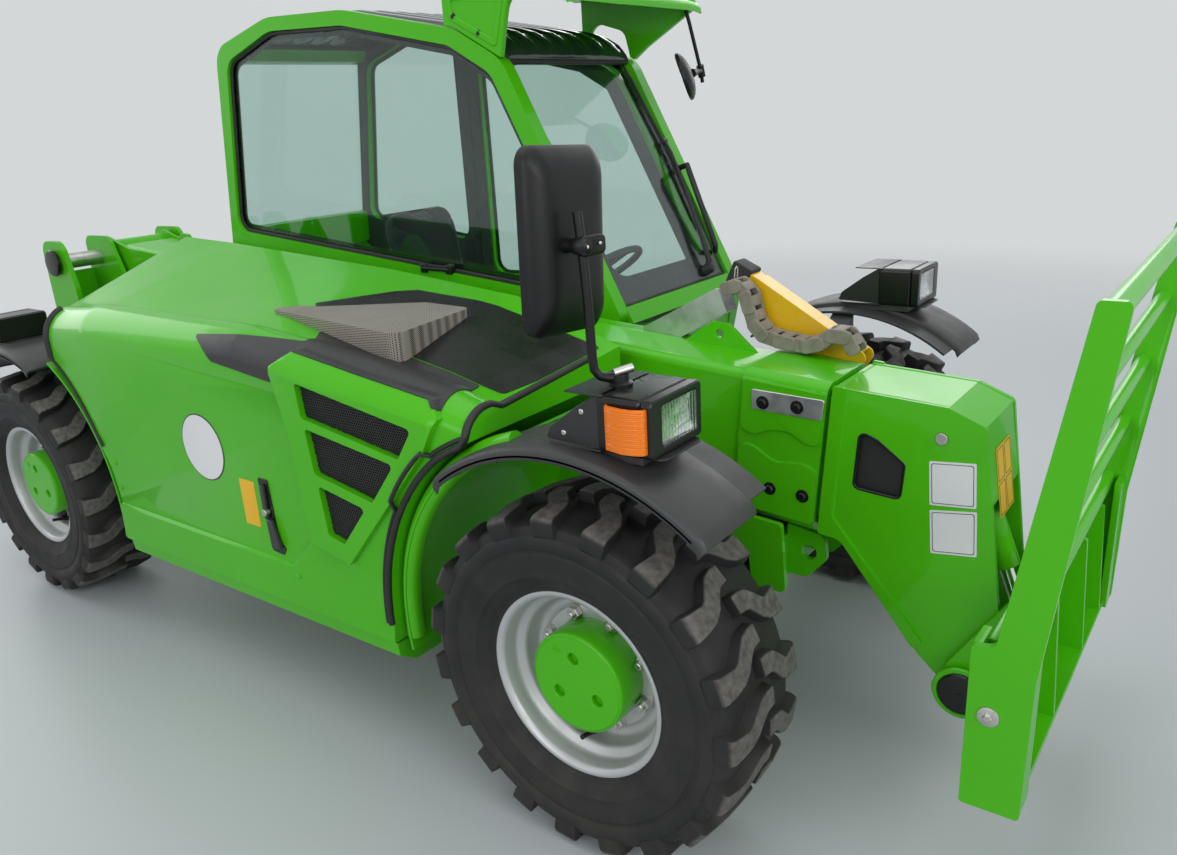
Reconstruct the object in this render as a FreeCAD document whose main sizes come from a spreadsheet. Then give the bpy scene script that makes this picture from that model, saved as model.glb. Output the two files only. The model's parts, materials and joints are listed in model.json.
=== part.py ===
import FreeCAD, Part
import math
import os
from FreeCAD import Placement, Rotation, Vector

# Telehandler, compact, with its cab on the left, its boom in the middle and its engine on the right.
# Millimetres. +X forward, +Y to the left, +Z up. The origin is the middle of the footprint, on the
# ground. The machine is shown with its boom down, its wheels straight and its carriage upright.

os.makedirs("parts", exist_ok=True)
doc = FreeCAD.newDocument("telehandler")
sheet = doc.addObject("Spreadsheet::Sheet", "Sizes")

# Driving dimensions: alias, value, meaning
SIZES = (
    ("front_axle_x", 1066, "front axle, forward of the origin"),
    ("wheelbase", 2460, "front axle to rear axle"),
    ("wheel_y", 755, "middle of a tyre from the centre plane"),
    ("tyre_radius", 415.5, "tyre over its lugs"),
    ("tyre_width", 300, "tyre over its side walls"),
    ("lug_height", 26, "tread lug above the carcass"),
    ("lugs_each_side", 16, "lugs round each shoulder of a tyre"),
    ("rim_radius", 222, "rim over its flanges"),
    ("rim_width", 232, "rim over its flanges, along the axle"),
    ("rim_wall", 14, "rim barrel and disc thickness"),
    ("rim_disc", 18, "outer face of the rim disc from the middle of the tyre"),
    ("hub_radius", 120, "wheel hub cover"),
    ("hub_reach", 112, "hub face outside the middle of the tyre"),
    ("kingpin_y", 585, "steering pivot from the centre plane"),
    ("kingpin_radius", 60, "steering knuckle housing"),
    ("kingpin_reach", 105, "knuckle above and below the axle centre"),
    ("axle_radius", 68, "axle tube"),
    ("axle_bulge", 118, "differential housing"),
    ("boom_y", -75, "middle plane of the boom"),
    ("boom_pivot_back", 2900, "boom pivot behind the front axle"),
    ("boom_pivot_z", 1140, "boom pivot above the ground"),
    ("boom_pivot_radius", 30, "boom pivot pin"),
    ("boom_slope", 4.5, "degrees that the lowered boom falls towards its head"),
    ("boom_width", 236, "outer boom tube"),
    ("boom_height", 372, "outer boom tube"),
    ("boom_wall", 9, "boom tube wall"),
    ("boom_drop", 132, "tube centre line below the pivot"),
    ("boom_front", 3190, "front of the outer tube from the pivot"),
    ("collar_length", 222, "collar at the front of the outer tube"),
    ("collar_wall", 9, "collar plate outside the outer tube"),
    ("collar_pad", 7, "pad on the side of the collar"),
    ("stage_gap", 12, "outer tube to inner tube, filled by wear pads"),
    ("stage_rear", 504, "rear end of the inner boom tube from the boom pivot"),
    ("head_gap", 14, "collar to the flange of the boom head"),
    ("head_width", 250, "boom head over its side plates"),
    ("head_wall", 14, "boom head side plate"),
    ("tip_u", 3603, "carriage pivot along the boom from the boom pivot"),
    ("tip_w", -597, "carriage pivot square to the boom from the boom pivot"),
    ("tip_pin_radius", 27, "carriage pivot pin"),
    ("carriage_width", 1050, "carriage over its side plates"),
    ("carriage_height", 1005, "carriage above its pivot"),
    ("carriage_lean", 95, "top of the carriage ahead of its post"),
    ("channel_width", 300, "chassis between the boom channel plates"),
    ("channel_plate", 15, "boom channel plate"),
    ("plate_front", 188, "front edge of the boom channel plates ahead of the front axle"),
    ("channel_low", 508, "underside of the boom channel plates over the axles"),
    ("tower_plate", 20, "outer plate of the boom tower"),
    ("tower_right", -420, "outer face of the right tower plate"),
    ("cab_right", 100, "right wall of the cab"),
    ("cab_left", 860, "left wall of the cab"),
    ("cab_tube", 50, "depth of a cab side frame"),
    ("cab_floor_z", 480, "underside of the cab floor"),
    ("cab_sheet", 15, "cab floor and lower wall"),
    ("glass", 6, "window glass"),
    ("door_gap", 7, "gap round the cab door"),
    ("cover_side", -862, "outer face of the engine cover"),
    ("cover_inner", -262, "inner edge of the engine cover"),
    ("cover_wall", 14, "engine cover"),
    ("panel_press", 11, "depth of the pressed panel in the engine cover's side"),
    ("grille_rise", 20, "rise of the frame round the grilles above the cover"),
    ("cover_bottom", 332, "lower edge of the engine cover"),
    ("arch_radius", 575, "wheel arch edge of the engine cover, about the axle"),
    ("liner_radius", 542, "wheel arch liner, inside"),
    ("liner_wall", 8, "wheel arch liner"),
    ("guard_radius", 528, "front mudguard, inside, about the axle"),
    ("guard_wall", 8, "mudguard"),
    ("guard_inner", 600, "mudguard inner edge from the centre plane"),
    ("guard_outer", 900, "mudguard outer edge from the centre plane"),
    ("lift_base_back", 2750, "lift cylinder base pin behind the front axle"),
    ("lift_base_z", 620, "lift cylinder base pin above the ground"),
    ("lift_eye_back", 1500, "lift rod pin behind the front axle"),
    ("lift_eye_z", 625, "lift rod pin above the ground"),
    ("lift_bore", 50, "lift cylinder outside radius"),
    ("lift_rod", 27, "lift rod radius"),
    ("lift_eye", 36, "lift cylinder eye radius"),
    ("lift_pin", 18, "lift cylinder pin radius"),
    ("lift_eye_width", 56, "lift cylinder eyes, across"),
    ("lift_barrel", 775, "lift cylinder barrel from its base pin"),
    ("lift_rod_start", 155, "lift rod's inner end from the base pin"),
    ("tilt_bore", 34, "tilt cylinder outside radius"),
    ("tilt_rod", 18, "tilt rod radius"),
    ("tilt_eye", 28, "tilt cylinder eye radius"),
    ("tilt_pin", 14, "tilt cylinder pin radius"),
    ("tilt_eye_width", 44, "tilt cylinder eyes, across"),
    ("tilt_barrel", 357, "tilt cylinder barrel from its base pin"),
    ("tilt_rod_start", 97, "tilt rod's inner end from the base pin"),
    ("tilt_eye_x", 82, "tilt rod pin ahead of the carriage pivot"),
    ("tilt_eye_z", 149, "tilt rod pin above the carriage pivot"),
    ("cylinder_floor", 40, "room behind the inner end of a rod"),
    ("cover_hinge_y", -275, "hinge line of the engine cover"),
    ("cover_hinge_drop", 37, "hinge line below the cover's inner edge"),
    ("cover_hinge_slope", 4.65, "degrees that the hinge line falls forward"),
    ("cover_hinge_back", 1500, "rear hinge post behind the front axle"),
    ("cover_hinge_front", 900, "front hinge post behind the front axle"),
    ("hinge_pin", 7, "hinge pin radius"),
    ("door_hinge_back", 1703.5, "door hinge line behind the front axle"),
    ("door_hinge_out", 13, "door hinge line outside the cab wall"),
    ("running_gap", 6, "clearance beside a moving eye or lug"),
    ("fit_gap", 0.3, "clearance of a seat that runs"),
)


class Size:
    """A value together with the sheet expression that gives it, so that sums stay bound."""

    def __init__(self, value, text):
        self.value = float(value)
        self.text = text

    def __float__(self):
        return self.value

    def __add__(self, other):
        return Size(self.value + float(other), "(%s + %s)" % (self.text, text_of(other)))

    def __radd__(self, other):
        return Size(float(other) + self.value, "(%s + %s)" % (text_of(other), self.text))

    def __sub__(self, other):
        return Size(self.value - float(other), "(%s - %s)" % (self.text, text_of(other)))

    def __rsub__(self, other):
        return Size(float(other) - self.value, "(%s - %s)" % (text_of(other), self.text))

    def __mul__(self, other):
        return Size(self.value * float(other), "(%s * %s)" % (self.text, text_of(other)))

    def __rmul__(self, other):
        return self * other

    def __truediv__(self, other):
        return Size(self.value / float(other), "(%s / %s)" % (self.text, text_of(other)))

    def __neg__(self):
        return Size(-self.value, "(0 - %s)" % self.text)


def text_of(value):
    """Sheet expression of a size, or a plain number written out."""
    if isinstance(value, Size):
        return value.text
    return "(%.6f)" % value


class Table:
    """The sheet's values by their alias."""


S = Table()
for row, (alias, value, meaning) in enumerate(SIZES, start=1):
    sheet.set("A%d" % row, alias)
    sheet.set("B%d" % row, str(value))
    sheet.setAlias("B%d" % row, alias)
    sheet.set("C%d" % row, meaning)
    setattr(S, alias, Size(value, "Sizes." + alias))
doc.recompute()

NODES = {}


def bind(thing, path, size):
    """Sets a property from a size, bound to the sheet."""
    if isinstance(size, Size):
        thing.setExpression(path, size.text)
    else:
        thing.setExpression(path, text_of(float(size)))


def place(thing, x, y, z):
    """Binds the position of an object."""
    bind(thing, ".Placement.Base.x", x)
    bind(thing, ".Placement.Base.y", y)
    bind(thing, ".Placement.Base.z", z)


def node(label, thing):
    """Names an object as a sub-part, which gets a file of that name."""
    thing.Label = label
    NODES[label] = thing
    return thing


# Outlines


def corner_points(outline):
    """Lines and arcs of a closed outline. A point is (a, b) or (a, b, radius of its corner)."""
    pieces = []
    points = [(float(p[0]), float(p[1]), float(p[2]) if len(p) > 2 else 0.0) for p in outline]
    ends = []
    for i, (a, b, radius) in enumerate(points):
        before = points[i - 1]
        after = points[(i + 1) % len(points)]
        here = Vector(a, b, 0)
        back = (Vector(before[0], before[1], 0) - here).normalize()
        ahead = (Vector(after[0], after[1], 0) - here).normalize()
        if radius == 0:
            ends.append((here, None, here))
            continue
        half = back.getAngle(ahead) / 2
        reach = radius / math.tan(half)
        middle = here + (back + ahead).normalize() * (radius / math.sin(half) - radius)
        ends.append((here + back * reach, middle, here + ahead * reach))
    for i, (start, middle, end) in enumerate(ends):
        if middle is not None:
            pieces.append(Part.Arc(start, middle, end))
        following = ends[(i + 1) % len(ends)][0]
        if (following - end).Length > 1e-6:
            pieces.append(Part.LineSegment(end, following))
    return pieces


def ring(a, b, radius):
    """A full circle in an outline list."""
    return [Part.Circle(Vector(float(a), float(b), 0), Vector(0, 0, 1), float(radius))]


def geometry_of(outline):
    """Sketch geometry of an outline, or of a circle from ring()."""
    if isinstance(outline[0], Part.Circle):
        return outline
    return corner_points(outline)


PLANES = {"X": "YZ_Plane", "Y": "XZ_Plane", "Z": "XY_Plane"}


def sketch_in(body, along, outlines, at):
    """A sketch of closed outlines in a body, square to an axis, at a place along it."""
    plane = [f for f in body.Origin.OriginFeatures if f.Role == PLANES[along]][0]
    sketch = body.newObject("Sketcher::SketchObject", body.Name + "_sketch")
    sketch.AttachmentSupport = [(plane, "")]
    sketch.MapMode = "FlatFace"
    offset = -at if along == "Y" else at
    bind(sketch, ".AttachmentOffset.Base.z", offset)
    for outline in outlines:
        sketch.addGeometry(geometry_of(outline), False)
    return sketch


def slab(name, along, outlines, start, depth):
    """A body padded from start by depth along an axis. The first outline is the outside."""
    body = doc.addObject("PartDesign::Body", name)
    sketch = sketch_in(body, along, outlines, start)
    pad = body.newObject("PartDesign::Pad", name + "_pad")
    pad.Profile = sketch
    bind(pad, "Length", depth)
    pad.Reversed = along == "Y"
    body.Tip = pad
    return body


def turned(name, outline, y):
    """A body turned about an axis along Y. The outline is (radius, place along the axis)."""
    body = doc.addObject("PartDesign::Body", name)
    sketch = sketch_in(body, "Z", [outline], Size(0, "0"))
    axis = [f for f in body.Origin.OriginFeatures if f.Role == "Y_Axis"][0]
    turn = body.newObject("PartDesign::Revolution", name + "_turn")
    turn.Profile = sketch
    turn.ReferenceAxis = (axis, [""])
    turn.Angle = 360
    body.Tip = turn
    bind(body, ".Placement.Base.y", y)
    return body


def rod(name, along, radius, length, x, y, z):
    """A cylinder from (x, y, z) along an axis."""
    thing = doc.addObject("Part::Cylinder", name)
    bind(thing, "Radius", radius)
    bind(thing, "Height", length)
    turns = {"X": Rotation(Vector(0, 1, 0), 90), "Y": Rotation(Vector(1, 0, 0), -90), "Z": Rotation()}
    thing.Placement = Placement(Vector(), turns[along])
    place(thing, x, y, z)
    return thing


def block(name, low, size):
    """A box from its low corner and its size."""
    thing = doc.addObject("Part::Box", name)
    for side, value in zip(("Length", "Width", "Height"), size):
        bind(thing, side, value)
    place(thing, *low)
    return thing


def joined(name, things):
    """One solid fused from several."""
    fuse = doc.addObject("Part::MultiFuse", name)
    fuse.Shapes = things
    fuse.Refine = True
    return fuse


def apart(name, things):
    """Like pieces kept as separate solids in one object."""
    group = doc.addObject("Part::Compound", name)
    group.Links = things
    return group


def less(name, base, tools):
    """A piece with others cut out of it."""
    cut = doc.addObject("Part::Cut", name)
    cut.Base = base
    cut.Tool = tools[0] if len(tools) == 1 else joined(name + "_tools", tools)
    return cut


def other_side(name, thing, plane_y=0.0):
    """The mirror image of a piece in a plane square to Y."""
    mirror = doc.addObject("Part::Mirroring", name)
    mirror.Source = thing
    mirror.Normal = Vector(0, 1, 0)
    bind(mirror, ".Base.y", plane_y)
    return mirror


def plain(name, shape):
    """An object that holds a shape made with Part's own functions."""
    thing = doc.addObject("Part::Feature", name)
    thing.Shape = shape
    return thing


def ahead(distance):
    """X of a place measured forward of the front axle."""
    return S.front_axle_x + distance


# Wheels


axle_z = S.tyre_radius
rear_axle_x = S.front_axle_x - S.wheelbase
CORNERS = (
    ("front_right", S.front_axle_x, -1),
    ("front_left", S.front_axle_x, 1),
    ("rear_right", rear_axle_x, -1),
    ("rear_left", rear_axle_x, 1),
)


lug_count = int(float(S.lugs_each_side))
lug_step = 360.0 / lug_count
lug_reach = 0.245 * 2 * math.pi * float(S.tyre_radius) / lug_count
lug_flat = math.sqrt(float(S.tyre_radius) ** 2 - lug_reach ** 2)
lug_phase = math.degrees(math.atan2(lug_reach, lug_flat))


def lug_shape(angle, side):
    """One tread lug, an L seen from outside: a broad shoulder block and a bar to the middle."""
    half = float(S.tyre_width) / 2
    root = float(S.tyre_radius) - float(S.lug_height) - 12
    reach = lug_reach
    points = (
        (-reach, 0.0), (0.12 * reach, 0.0), (reach, 0.42 * half), (reach, 0.90 * half),
        (-0.62 * reach, 0.90 * half), (-0.62 * reach, 0.48 * half),
    )
    corners = [Vector(a, side * b, root) for a, b in points]
    face = Part.Face(Part.makePolygon(corners + corners[:1]))
    lug = face.extrude(Vector(0, 0, lug_flat - root))
    lug.rotate(Vector(), Vector(0, 1, 0), angle + lug_phase + (0 if side > 0 else lug_step / 2))
    return lug


def tyre_shape():
    """A carcass with a flat facet under each lug, and two staggered rows of lugs, centred on the origin."""
    half = float(S.tyre_width) / 2
    facets = lug_count * 2
    grow = 1 / math.cos(math.pi / facets)
    carcass = float(S.tyre_radius) - float(S.lug_height)
    bead = (float(S.rim_radius) - 22) * grow
    outline = ((bead, 0.56 * half), (bead + 66, half), (carcass, 0.92 * half))
    side = [(r, b) for r, b in outline] + [(r, -b) for r, b in reversed(outline)]
    rings = []
    for k in range(facets):
        turn = 2 * math.pi * (k + 0.5) / facets + math.radians(lug_phase)
        rings.append([Vector(r * math.sin(turn), b, r * math.cos(turn)) for r, b in side])
    faces = []
    for k, here in enumerate(rings):
        after = rings[(k + 1) % facets]
        for i, corner in enumerate(here):
            j = (i + 1) % len(here)
            faces.append(Part.Face(Part.makePolygon([corner, here[j], after[j], after[i], corner])))
    body = Part.Solid(Part.Shell(faces))
    lugs = [lug_shape(k * lug_step, side) for side in (-1, 1) for k in range(lug_count)]
    return body.fuse(lugs).removeSplitter()


def rim_outline():
    """Half section of a rim with its disc and hub cover: (radius, place outward of the tyre's middle)."""
    edge = S.rim_width / 2
    wall = S.rim_wall
    barrel = S.rim_radius - 36
    bead = S.rim_radius - 22
    disc = S.rim_disc
    return [
        (0, disc - wall), (barrel - wall, disc - wall), (barrel - wall, 30 - edge), (bead - wall, 12 - edge),
        (S.rim_radius - wall, 6 - edge), (S.rim_radius - 6, -edge), (S.rim_radius, -edge),
        (S.rim_radius, 8 - edge),
        (bead, 14 - edge), (bead, 44 - edge), (barrel, 60 - edge), (barrel, edge - 60), (bead, edge - 44),
        (bead, edge - 14), (S.rim_radius, edge - 8), (S.rim_radius, edge), (S.rim_radius - 6, edge),
        (bead - wall, edge - 14), (barrel - wall, edge - 44), (barrel - wall, disc + 26),
        (S.hub_radius + 22, disc),
        (S.hub_radius, disc), (S.hub_radius, S.hub_reach - 14), (S.hub_radius - 14, S.hub_reach),
        (0, S.hub_reach),
    ]


tyre = plain("tyre_pattern", tyre_shape())
rim = turned("rim_pattern", rim_outline(), 0.0)
doc.recompute()
for corner, x, side in CORNERS:
    turn = Placement(Vector(float(x), side * float(S.wheel_y), float(axle_z)), Rotation(Vector(0, 0, 1), 0))
    flip = Rotation(Vector(1, 0, 0), 0 if side > 0 else 180)
    for kind, pattern in (("tyre", tyre), ("rim", rim)):
        piece = doc.addObject("Part::Feature", "%s_%s" % (kind, corner))
        piece.Shape = pattern.Shape.copy()
        piece.Placement = turn.multiply(Placement(Vector(), flip))
        place(piece, x, S.wheel_y * side, axle_z)
        node("%s_%s" % (kind, corner), piece)


# Axles and knuckles


channel_half = S.channel_width / 2
plate_right = S.boom_y - channel_half - S.channel_plate
plate_left = S.boom_y + channel_half


def axle(label, x):
    """A beam axle with a differential housing and a forked end for each knuckle."""
    reach = S.kingpin_y - S.kingpin_radius - S.running_gap
    fork_inner = reach - 60
    pieces = [
        rod(label + "_tube", "Y", S.axle_radius, fork_inner * 2, x, -fork_inner, axle_z),
        rod(label + "_bulge", "Y", S.axle_bulge, 190, x, S.boom_y - 95, axle_z),
    ]
    for name, side in (("left", 1), ("right", -1)):
        tall = S.kingpin_reach + 34
        low = fork_inner if side > 0 else -reach
        pieces.append(block("%s_web_%s" % (label, name), (x - 55, low, axle_z - tall), (110, 60, tall * 2)))
        for place_name, z in (("top", axle_z + S.kingpin_reach + S.fit_gap), ("bottom", axle_z - tall)):
            ear = block("%s_ear_%s_%s" % (label, place_name, name),
                        (x - 45, reach if side > 0 else -(S.kingpin_y + 45), z),
                        (90, S.kingpin_y + 45 - reach, 34 - S.fit_gap))
            pieces.append(ear)
    for name, y in (("left", plate_left), ("right", plate_right)):
        pieces.append(block("%s_pad_%s" % (label, name), (x - 40, y, axle_z + 40),
                            (80, S.channel_plate, S.channel_low - 40 - axle_z)))
    return node(label, joined(label, pieces))


front_axle = axle("front_axle", S.front_axle_x)
rear_axle = axle("rear_axle", rear_axle_x)

for corner, x, side in CORNERS:
    label = "knuckle_" + corner
    spindle = S.wheel_y + S.rim_disc - S.rim_wall - S.fit_gap - S.kingpin_y
    start = S.kingpin_y if side > 0 else -(S.kingpin_y + spindle)
    housing = rod(label + "_housing", "Z", S.kingpin_radius, S.kingpin_reach * 2, x, S.kingpin_y * side,
                  axle_z - S.kingpin_reach)
    shaft = rod(label + "_spindle", "Y", 52, spindle, x, start, axle_z)
    node(label, joined(label, [housing, shaft]))


# Chassis


def channel_outline():
    """Side view of a boom channel plate, with its tower at the rear."""
    back = ahead(-S.boom_pivot_back)
    return [
        (back - 95, 540), (back - 95, 1225, 40), (back + 95, 1225, 50), (back + 190, 1010, 60),
        (back + 420, 830, 80),
        (ahead(-1500), 740, 60), (ahead(-500), 640, 40), (ahead(S.plate_front), 587, 10),
        (ahead(S.plate_front + 14), 400, 16), (ahead(108), 400, 30), (ahead(96), S.channel_low, 20),
        (ahead(-440), S.channel_low, 60), (ahead(-600), 300, 30),
        (ahead(-1860), 300, 30), (ahead(-2010), S.channel_low, 60), (back + 60, S.channel_low, 20),
    ]


def chassis():
    """Pieces of the chassis frame. The boom tower and the counterweight stand on it as their own sub-parts."""
    back = ahead(-S.boom_pivot_back)
    pin = ring(back, S.boom_pivot_z, S.boom_pivot_radius + S.fit_gap)
    base_pin = ring(ahead(-S.lift_base_back), S.lift_base_z, S.lift_pin + S.fit_gap)
    pieces = [
        slab("channel_right", "Y", [channel_outline(), pin, base_pin], plate_right, S.channel_plate),
        slab("channel_left", "Y", [channel_outline(), pin, base_pin], plate_left, S.channel_plate),
    ]
    tower = [
        (back - 95, 600, 20), (back - 95, 1225, 50), (back + 60, 1225, 60), (back + 110, 1040, 60),
        (back + 110, 600, 20),
    ]
    tower_pieces = [slab("tower_right", "Y", [tower, pin], S.tower_right, S.tower_plate)]
    web = [(back - 95, 600), (back - 95, 1090), (back - 75, 1090), (back - 75, 600)]
    tower_start = S.tower_right + S.tower_plate
    tower_pieces.append(slab("tower_web", "Y", [web], tower_start, plate_right - tower_start))
    shelf = [(back - 75, 600), (back - 75, 640), (back + 110, 640), (back + 110, 600)]
    tower_pieces.append(slab("tower_shelf", "Y", [shelf], tower_start, plate_right - tower_start))
    node("boom_tower", joined("boom_tower", tower_pieces))
    pieces.append(block("rear_plate", (back - 95, plate_right + S.channel_plate, 540),
                        (24, S.channel_width, 230)))
    pieces.append(block("belly_plate", (ahead(-1860), plate_right + S.channel_plate, 300),
                        (1240, S.channel_width, 12)))
    pieces.append(block("nose_plate", (ahead(S.plate_front - 40), plate_right + S.channel_plate, 410),
                        (24, S.channel_width, 120)))
    hook = [(ahead(S.plate_front - 16), 420), (ahead(S.plate_front + 40), 420, 30),
            (ahead(S.plate_front + 92), 480, 30),
            (ahead(S.plate_front + 84), 545, 30), (ahead(S.plate_front - 16), 560)]
    for name, y in (("right", S.boom_y - 90), ("left", S.boom_y + 74)):
        pieces.append(slab("hook_" + name, "Y", [hook, ring(ahead(S.plate_front + 44), 492, 20)], y, 16))
    weight = [(back - 110, 500, 30), (back - 110, 860, 40), (back + 60, 860, 30), (back + 60, 700, 60),
              (back + 10, 500, 30)]
    node("counterweight", slab("counterweight", "Y", [weight], plate_left + S.channel_plate, 370))
    for name, x in (("front", -740), ("rear", -1800)):
        pieces.append(block("outrigger_right_" + name, (ahead(x), -700, 312), (80, 700 + plate_right, 40)))
        pieces.append(block("outrigger_left_" + name, (ahead(x), plate_left + S.channel_plate, 420),
                            (80, 640, S.cab_floor_z - 420)))
    return pieces


def band(name, x, inner, wall, start, end, y, depth):
    """A band about an axle between two angles: a wheel arch liner or a mudguard."""
    centre = Vector(float(x), float(axle_z), 0)

    def spot(radius, degrees):
        turn = math.radians(degrees)
        return centre + Vector(float(radius) * math.cos(turn), float(radius) * math.sin(turn), 0)

    middle = (start + end) / 2
    outer = inner + wall
    return edge_slab(name, "Y", [
        Part.Arc(spot(outer, start), spot(outer, middle), spot(outer, end)),
        Part.LineSegment(spot(outer, end), spot(inner, end)),
        Part.Arc(spot(inner, end), spot(inner, middle), spot(inner, start)),
        Part.LineSegment(spot(inner, start), spot(outer, start)),
    ], y, depth)


def edge_slab(name, along, edges, start, depth):
    """A pad of ready sketch geometry."""
    body = doc.addObject("PartDesign::Body", name)
    sketch = sketch_in(body, along, [], start)
    sketch.addGeometry(edges, False)
    pad = body.newObject("PartDesign::Pad", name + "_pad")
    pad.Profile = sketch
    bind(pad, "Length", depth)
    pad.Reversed = along == "Y"
    body.Tip = pad
    return body


chassis_pieces = chassis()
liner_start = S.cover_side + 14
liner_depth = plate_right - liner_start
node("arch_liners", apart("arch_liners", [
    band("liner_" + name, x, S.liner_radius, S.liner_wall, start, end, liner_start, liner_depth)
    for name, x, start, end in (("front", S.front_axle_x, 120, 190), ("rear", rear_axle_x, -10, 62))]))


def hinge_rod(name, radius, length, x, z):
    """A rod about the engine cover's hinge line, centred at a place on it."""
    turn = Rotation(Vector(0, 1, 0), 90 + float(S.cover_hinge_slope))
    along = turn.multVec(Vector(0, 0, length / 2))
    thing = doc.addObject("Part::Cylinder", name)
    bind(thing, "Radius", radius)
    bind(thing, "Height", length)
    thing.Placement = Placement(Vector(float(x), float(S.cover_hinge_y), z) - along, turn)
    return thing


# Hinge posts of the engine cover: name, place, height of the cover's inner edge there
HINGE_POSTS = (("rear", ahead(-S.cover_hinge_back), 1200.0), ("front", ahead(-S.cover_hinge_front), 1151.2))
cover_posts = []
for name, x, edge_z in HINGE_POSTS:
    z = edge_z - float(S.cover_hinge_drop)
    cover_posts.append(joined("cover_post_" + name, [
        hinge_rod("cover_post_eye_" + name, S.hinge_pin + 5, 40, x, z),
        hinge_rod("cover_post_pin_" + name, S.hinge_pin, 100, x, z),
        block("cover_post_bar_" + name, (x - 18, S.cover_hinge_y - 10, 560), (36, 20, z - 560)),
        block("cover_post_foot_" + name, (x - 18, S.cover_hinge_y + 10, 560),
              (36, plate_right - S.cover_hinge_y - 10, 50))]))
node("cover_posts", apart("cover_posts", cover_posts))
node("chassis_frame", joined("chassis_frame", chassis_pieces))

pin_start = S.tower_right - 12
node("boom_pivot_pin", rod("boom_pivot_pin", "Y", S.boom_pivot_radius,
                           plate_left + S.channel_plate + 12 - pin_start,
                           ahead(-S.boom_pivot_back), pin_start, S.boom_pivot_z))

hitch_back = ahead(-S.boom_pivot_back) - 95
hitch_body = slab("hitch_body", "Y", [[
    (hitch_back, 560), (hitch_back, 660), (hitch_back - 20, 660), (hitch_back - 20, 640),
    (hitch_back - 70, 640),
    (hitch_back - 70, 618), (hitch_back - 20, 618), (hitch_back - 20, 592), (hitch_back - 70, 592),
    (hitch_back - 70, 570), (hitch_back - 20, 570), (hitch_back - 20, 560)]], S.boom_y - 40, 80)
hitch_bore = rod("hitch_bore", "Z", 13, 120, hitch_back - 48, S.boom_y, 560)
node("tow_hitch", less("tow_hitch", hitch_body, [hitch_bore]))

node("engine_block", block("engine_block", (ahead(-1760), -690, 352), (1000, 390, 540)))

sill = [(-700, 250), (-795, 250), (-848, 286), (-852, 324), (-700, 324)]
node("sill_panel", joined("sill_panel", [
    slab("sill_rail", "X", [sill], ahead(-1880), 1290),
    block("sill_bracket_front", (ahead(-740), -700, 270), (80, 160, 42)),
    block("sill_bracket_rear", (ahead(-1800), -700, 270), (80, 160, 42)),
]))

step = slab("step_body", "X", [[(310, 262), (310, 420), (780, 420), (780, 392), (838, 392), (838, 262)]],
            ahead(-1840), 1120)
step_gap = block("step_gap", (ahead(-1500), 740, 300), (520, 120, 70))
node("side_step", less("side_step", step, [step_gap]))


# Engine cover


# Sections of the engine cover: place ahead of the front axle, outer face, shoulder height,
# height where the shoulder meets the top, and height at the inner edge
COVER_SECTIONS = (
    (-2230, 30, 960, 1070, 1244),
    (-1900, 0, 1015, 1100, 1228),
    (-1100, 0, 1035, 1092, 1172),
    (-600, 0, 990, 1044, 1120),
    (-360, 0, 960, 1002, 1042),
    (-235, 14, 925, 962, 1000),
)
TOP_Y = -735


def cover_section(row, inset):
    """Section wire square to X: the side wall, the shoulder's arc, the sloping top."""
    x, tuck, shoulder, crest, inner = row
    side = float(S.cover_side) + tuck + inset
    low = float(S.cover_bottom) - (40 if inset else 0)
    edge = float(S.cover_inner) + (60 if inset else 0)
    here = float(ahead(x))
    shoulder_end = Vector(here, TOP_Y + 0.3 * inset, crest - inset)
    wall_end = Vector(here, side, shoulder)
    bulge = (wall_end + shoulder_end) / 2 + Vector(0, -20, 26)
    slope = (inner - crest) / (float(S.cover_inner) - TOP_Y)
    top_end = Vector(here, edge, inner - inset + slope * (edge - float(S.cover_inner)))
    return Part.Wire([
        Part.LineSegment(Vector(here, side, low), wall_end).toShape(),
        Part.Arc(wall_end, bulge, shoulder_end).toShape(),
        Part.LineSegment(shoulder_end, top_end).toShape(),
        Part.LineSegment(top_end, Vector(here, edge, low)).toShape(),
        Part.LineSegment(Vector(here, edge, low), Vector(here, side, low)).toShape(),
    ])


def cover_solid(inset):
    """The cover's full volume, or with an inset the space inside it."""
    return Part.makeLoft([cover_section(row, inset) for row in COVER_SECTIONS], True, True)


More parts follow.
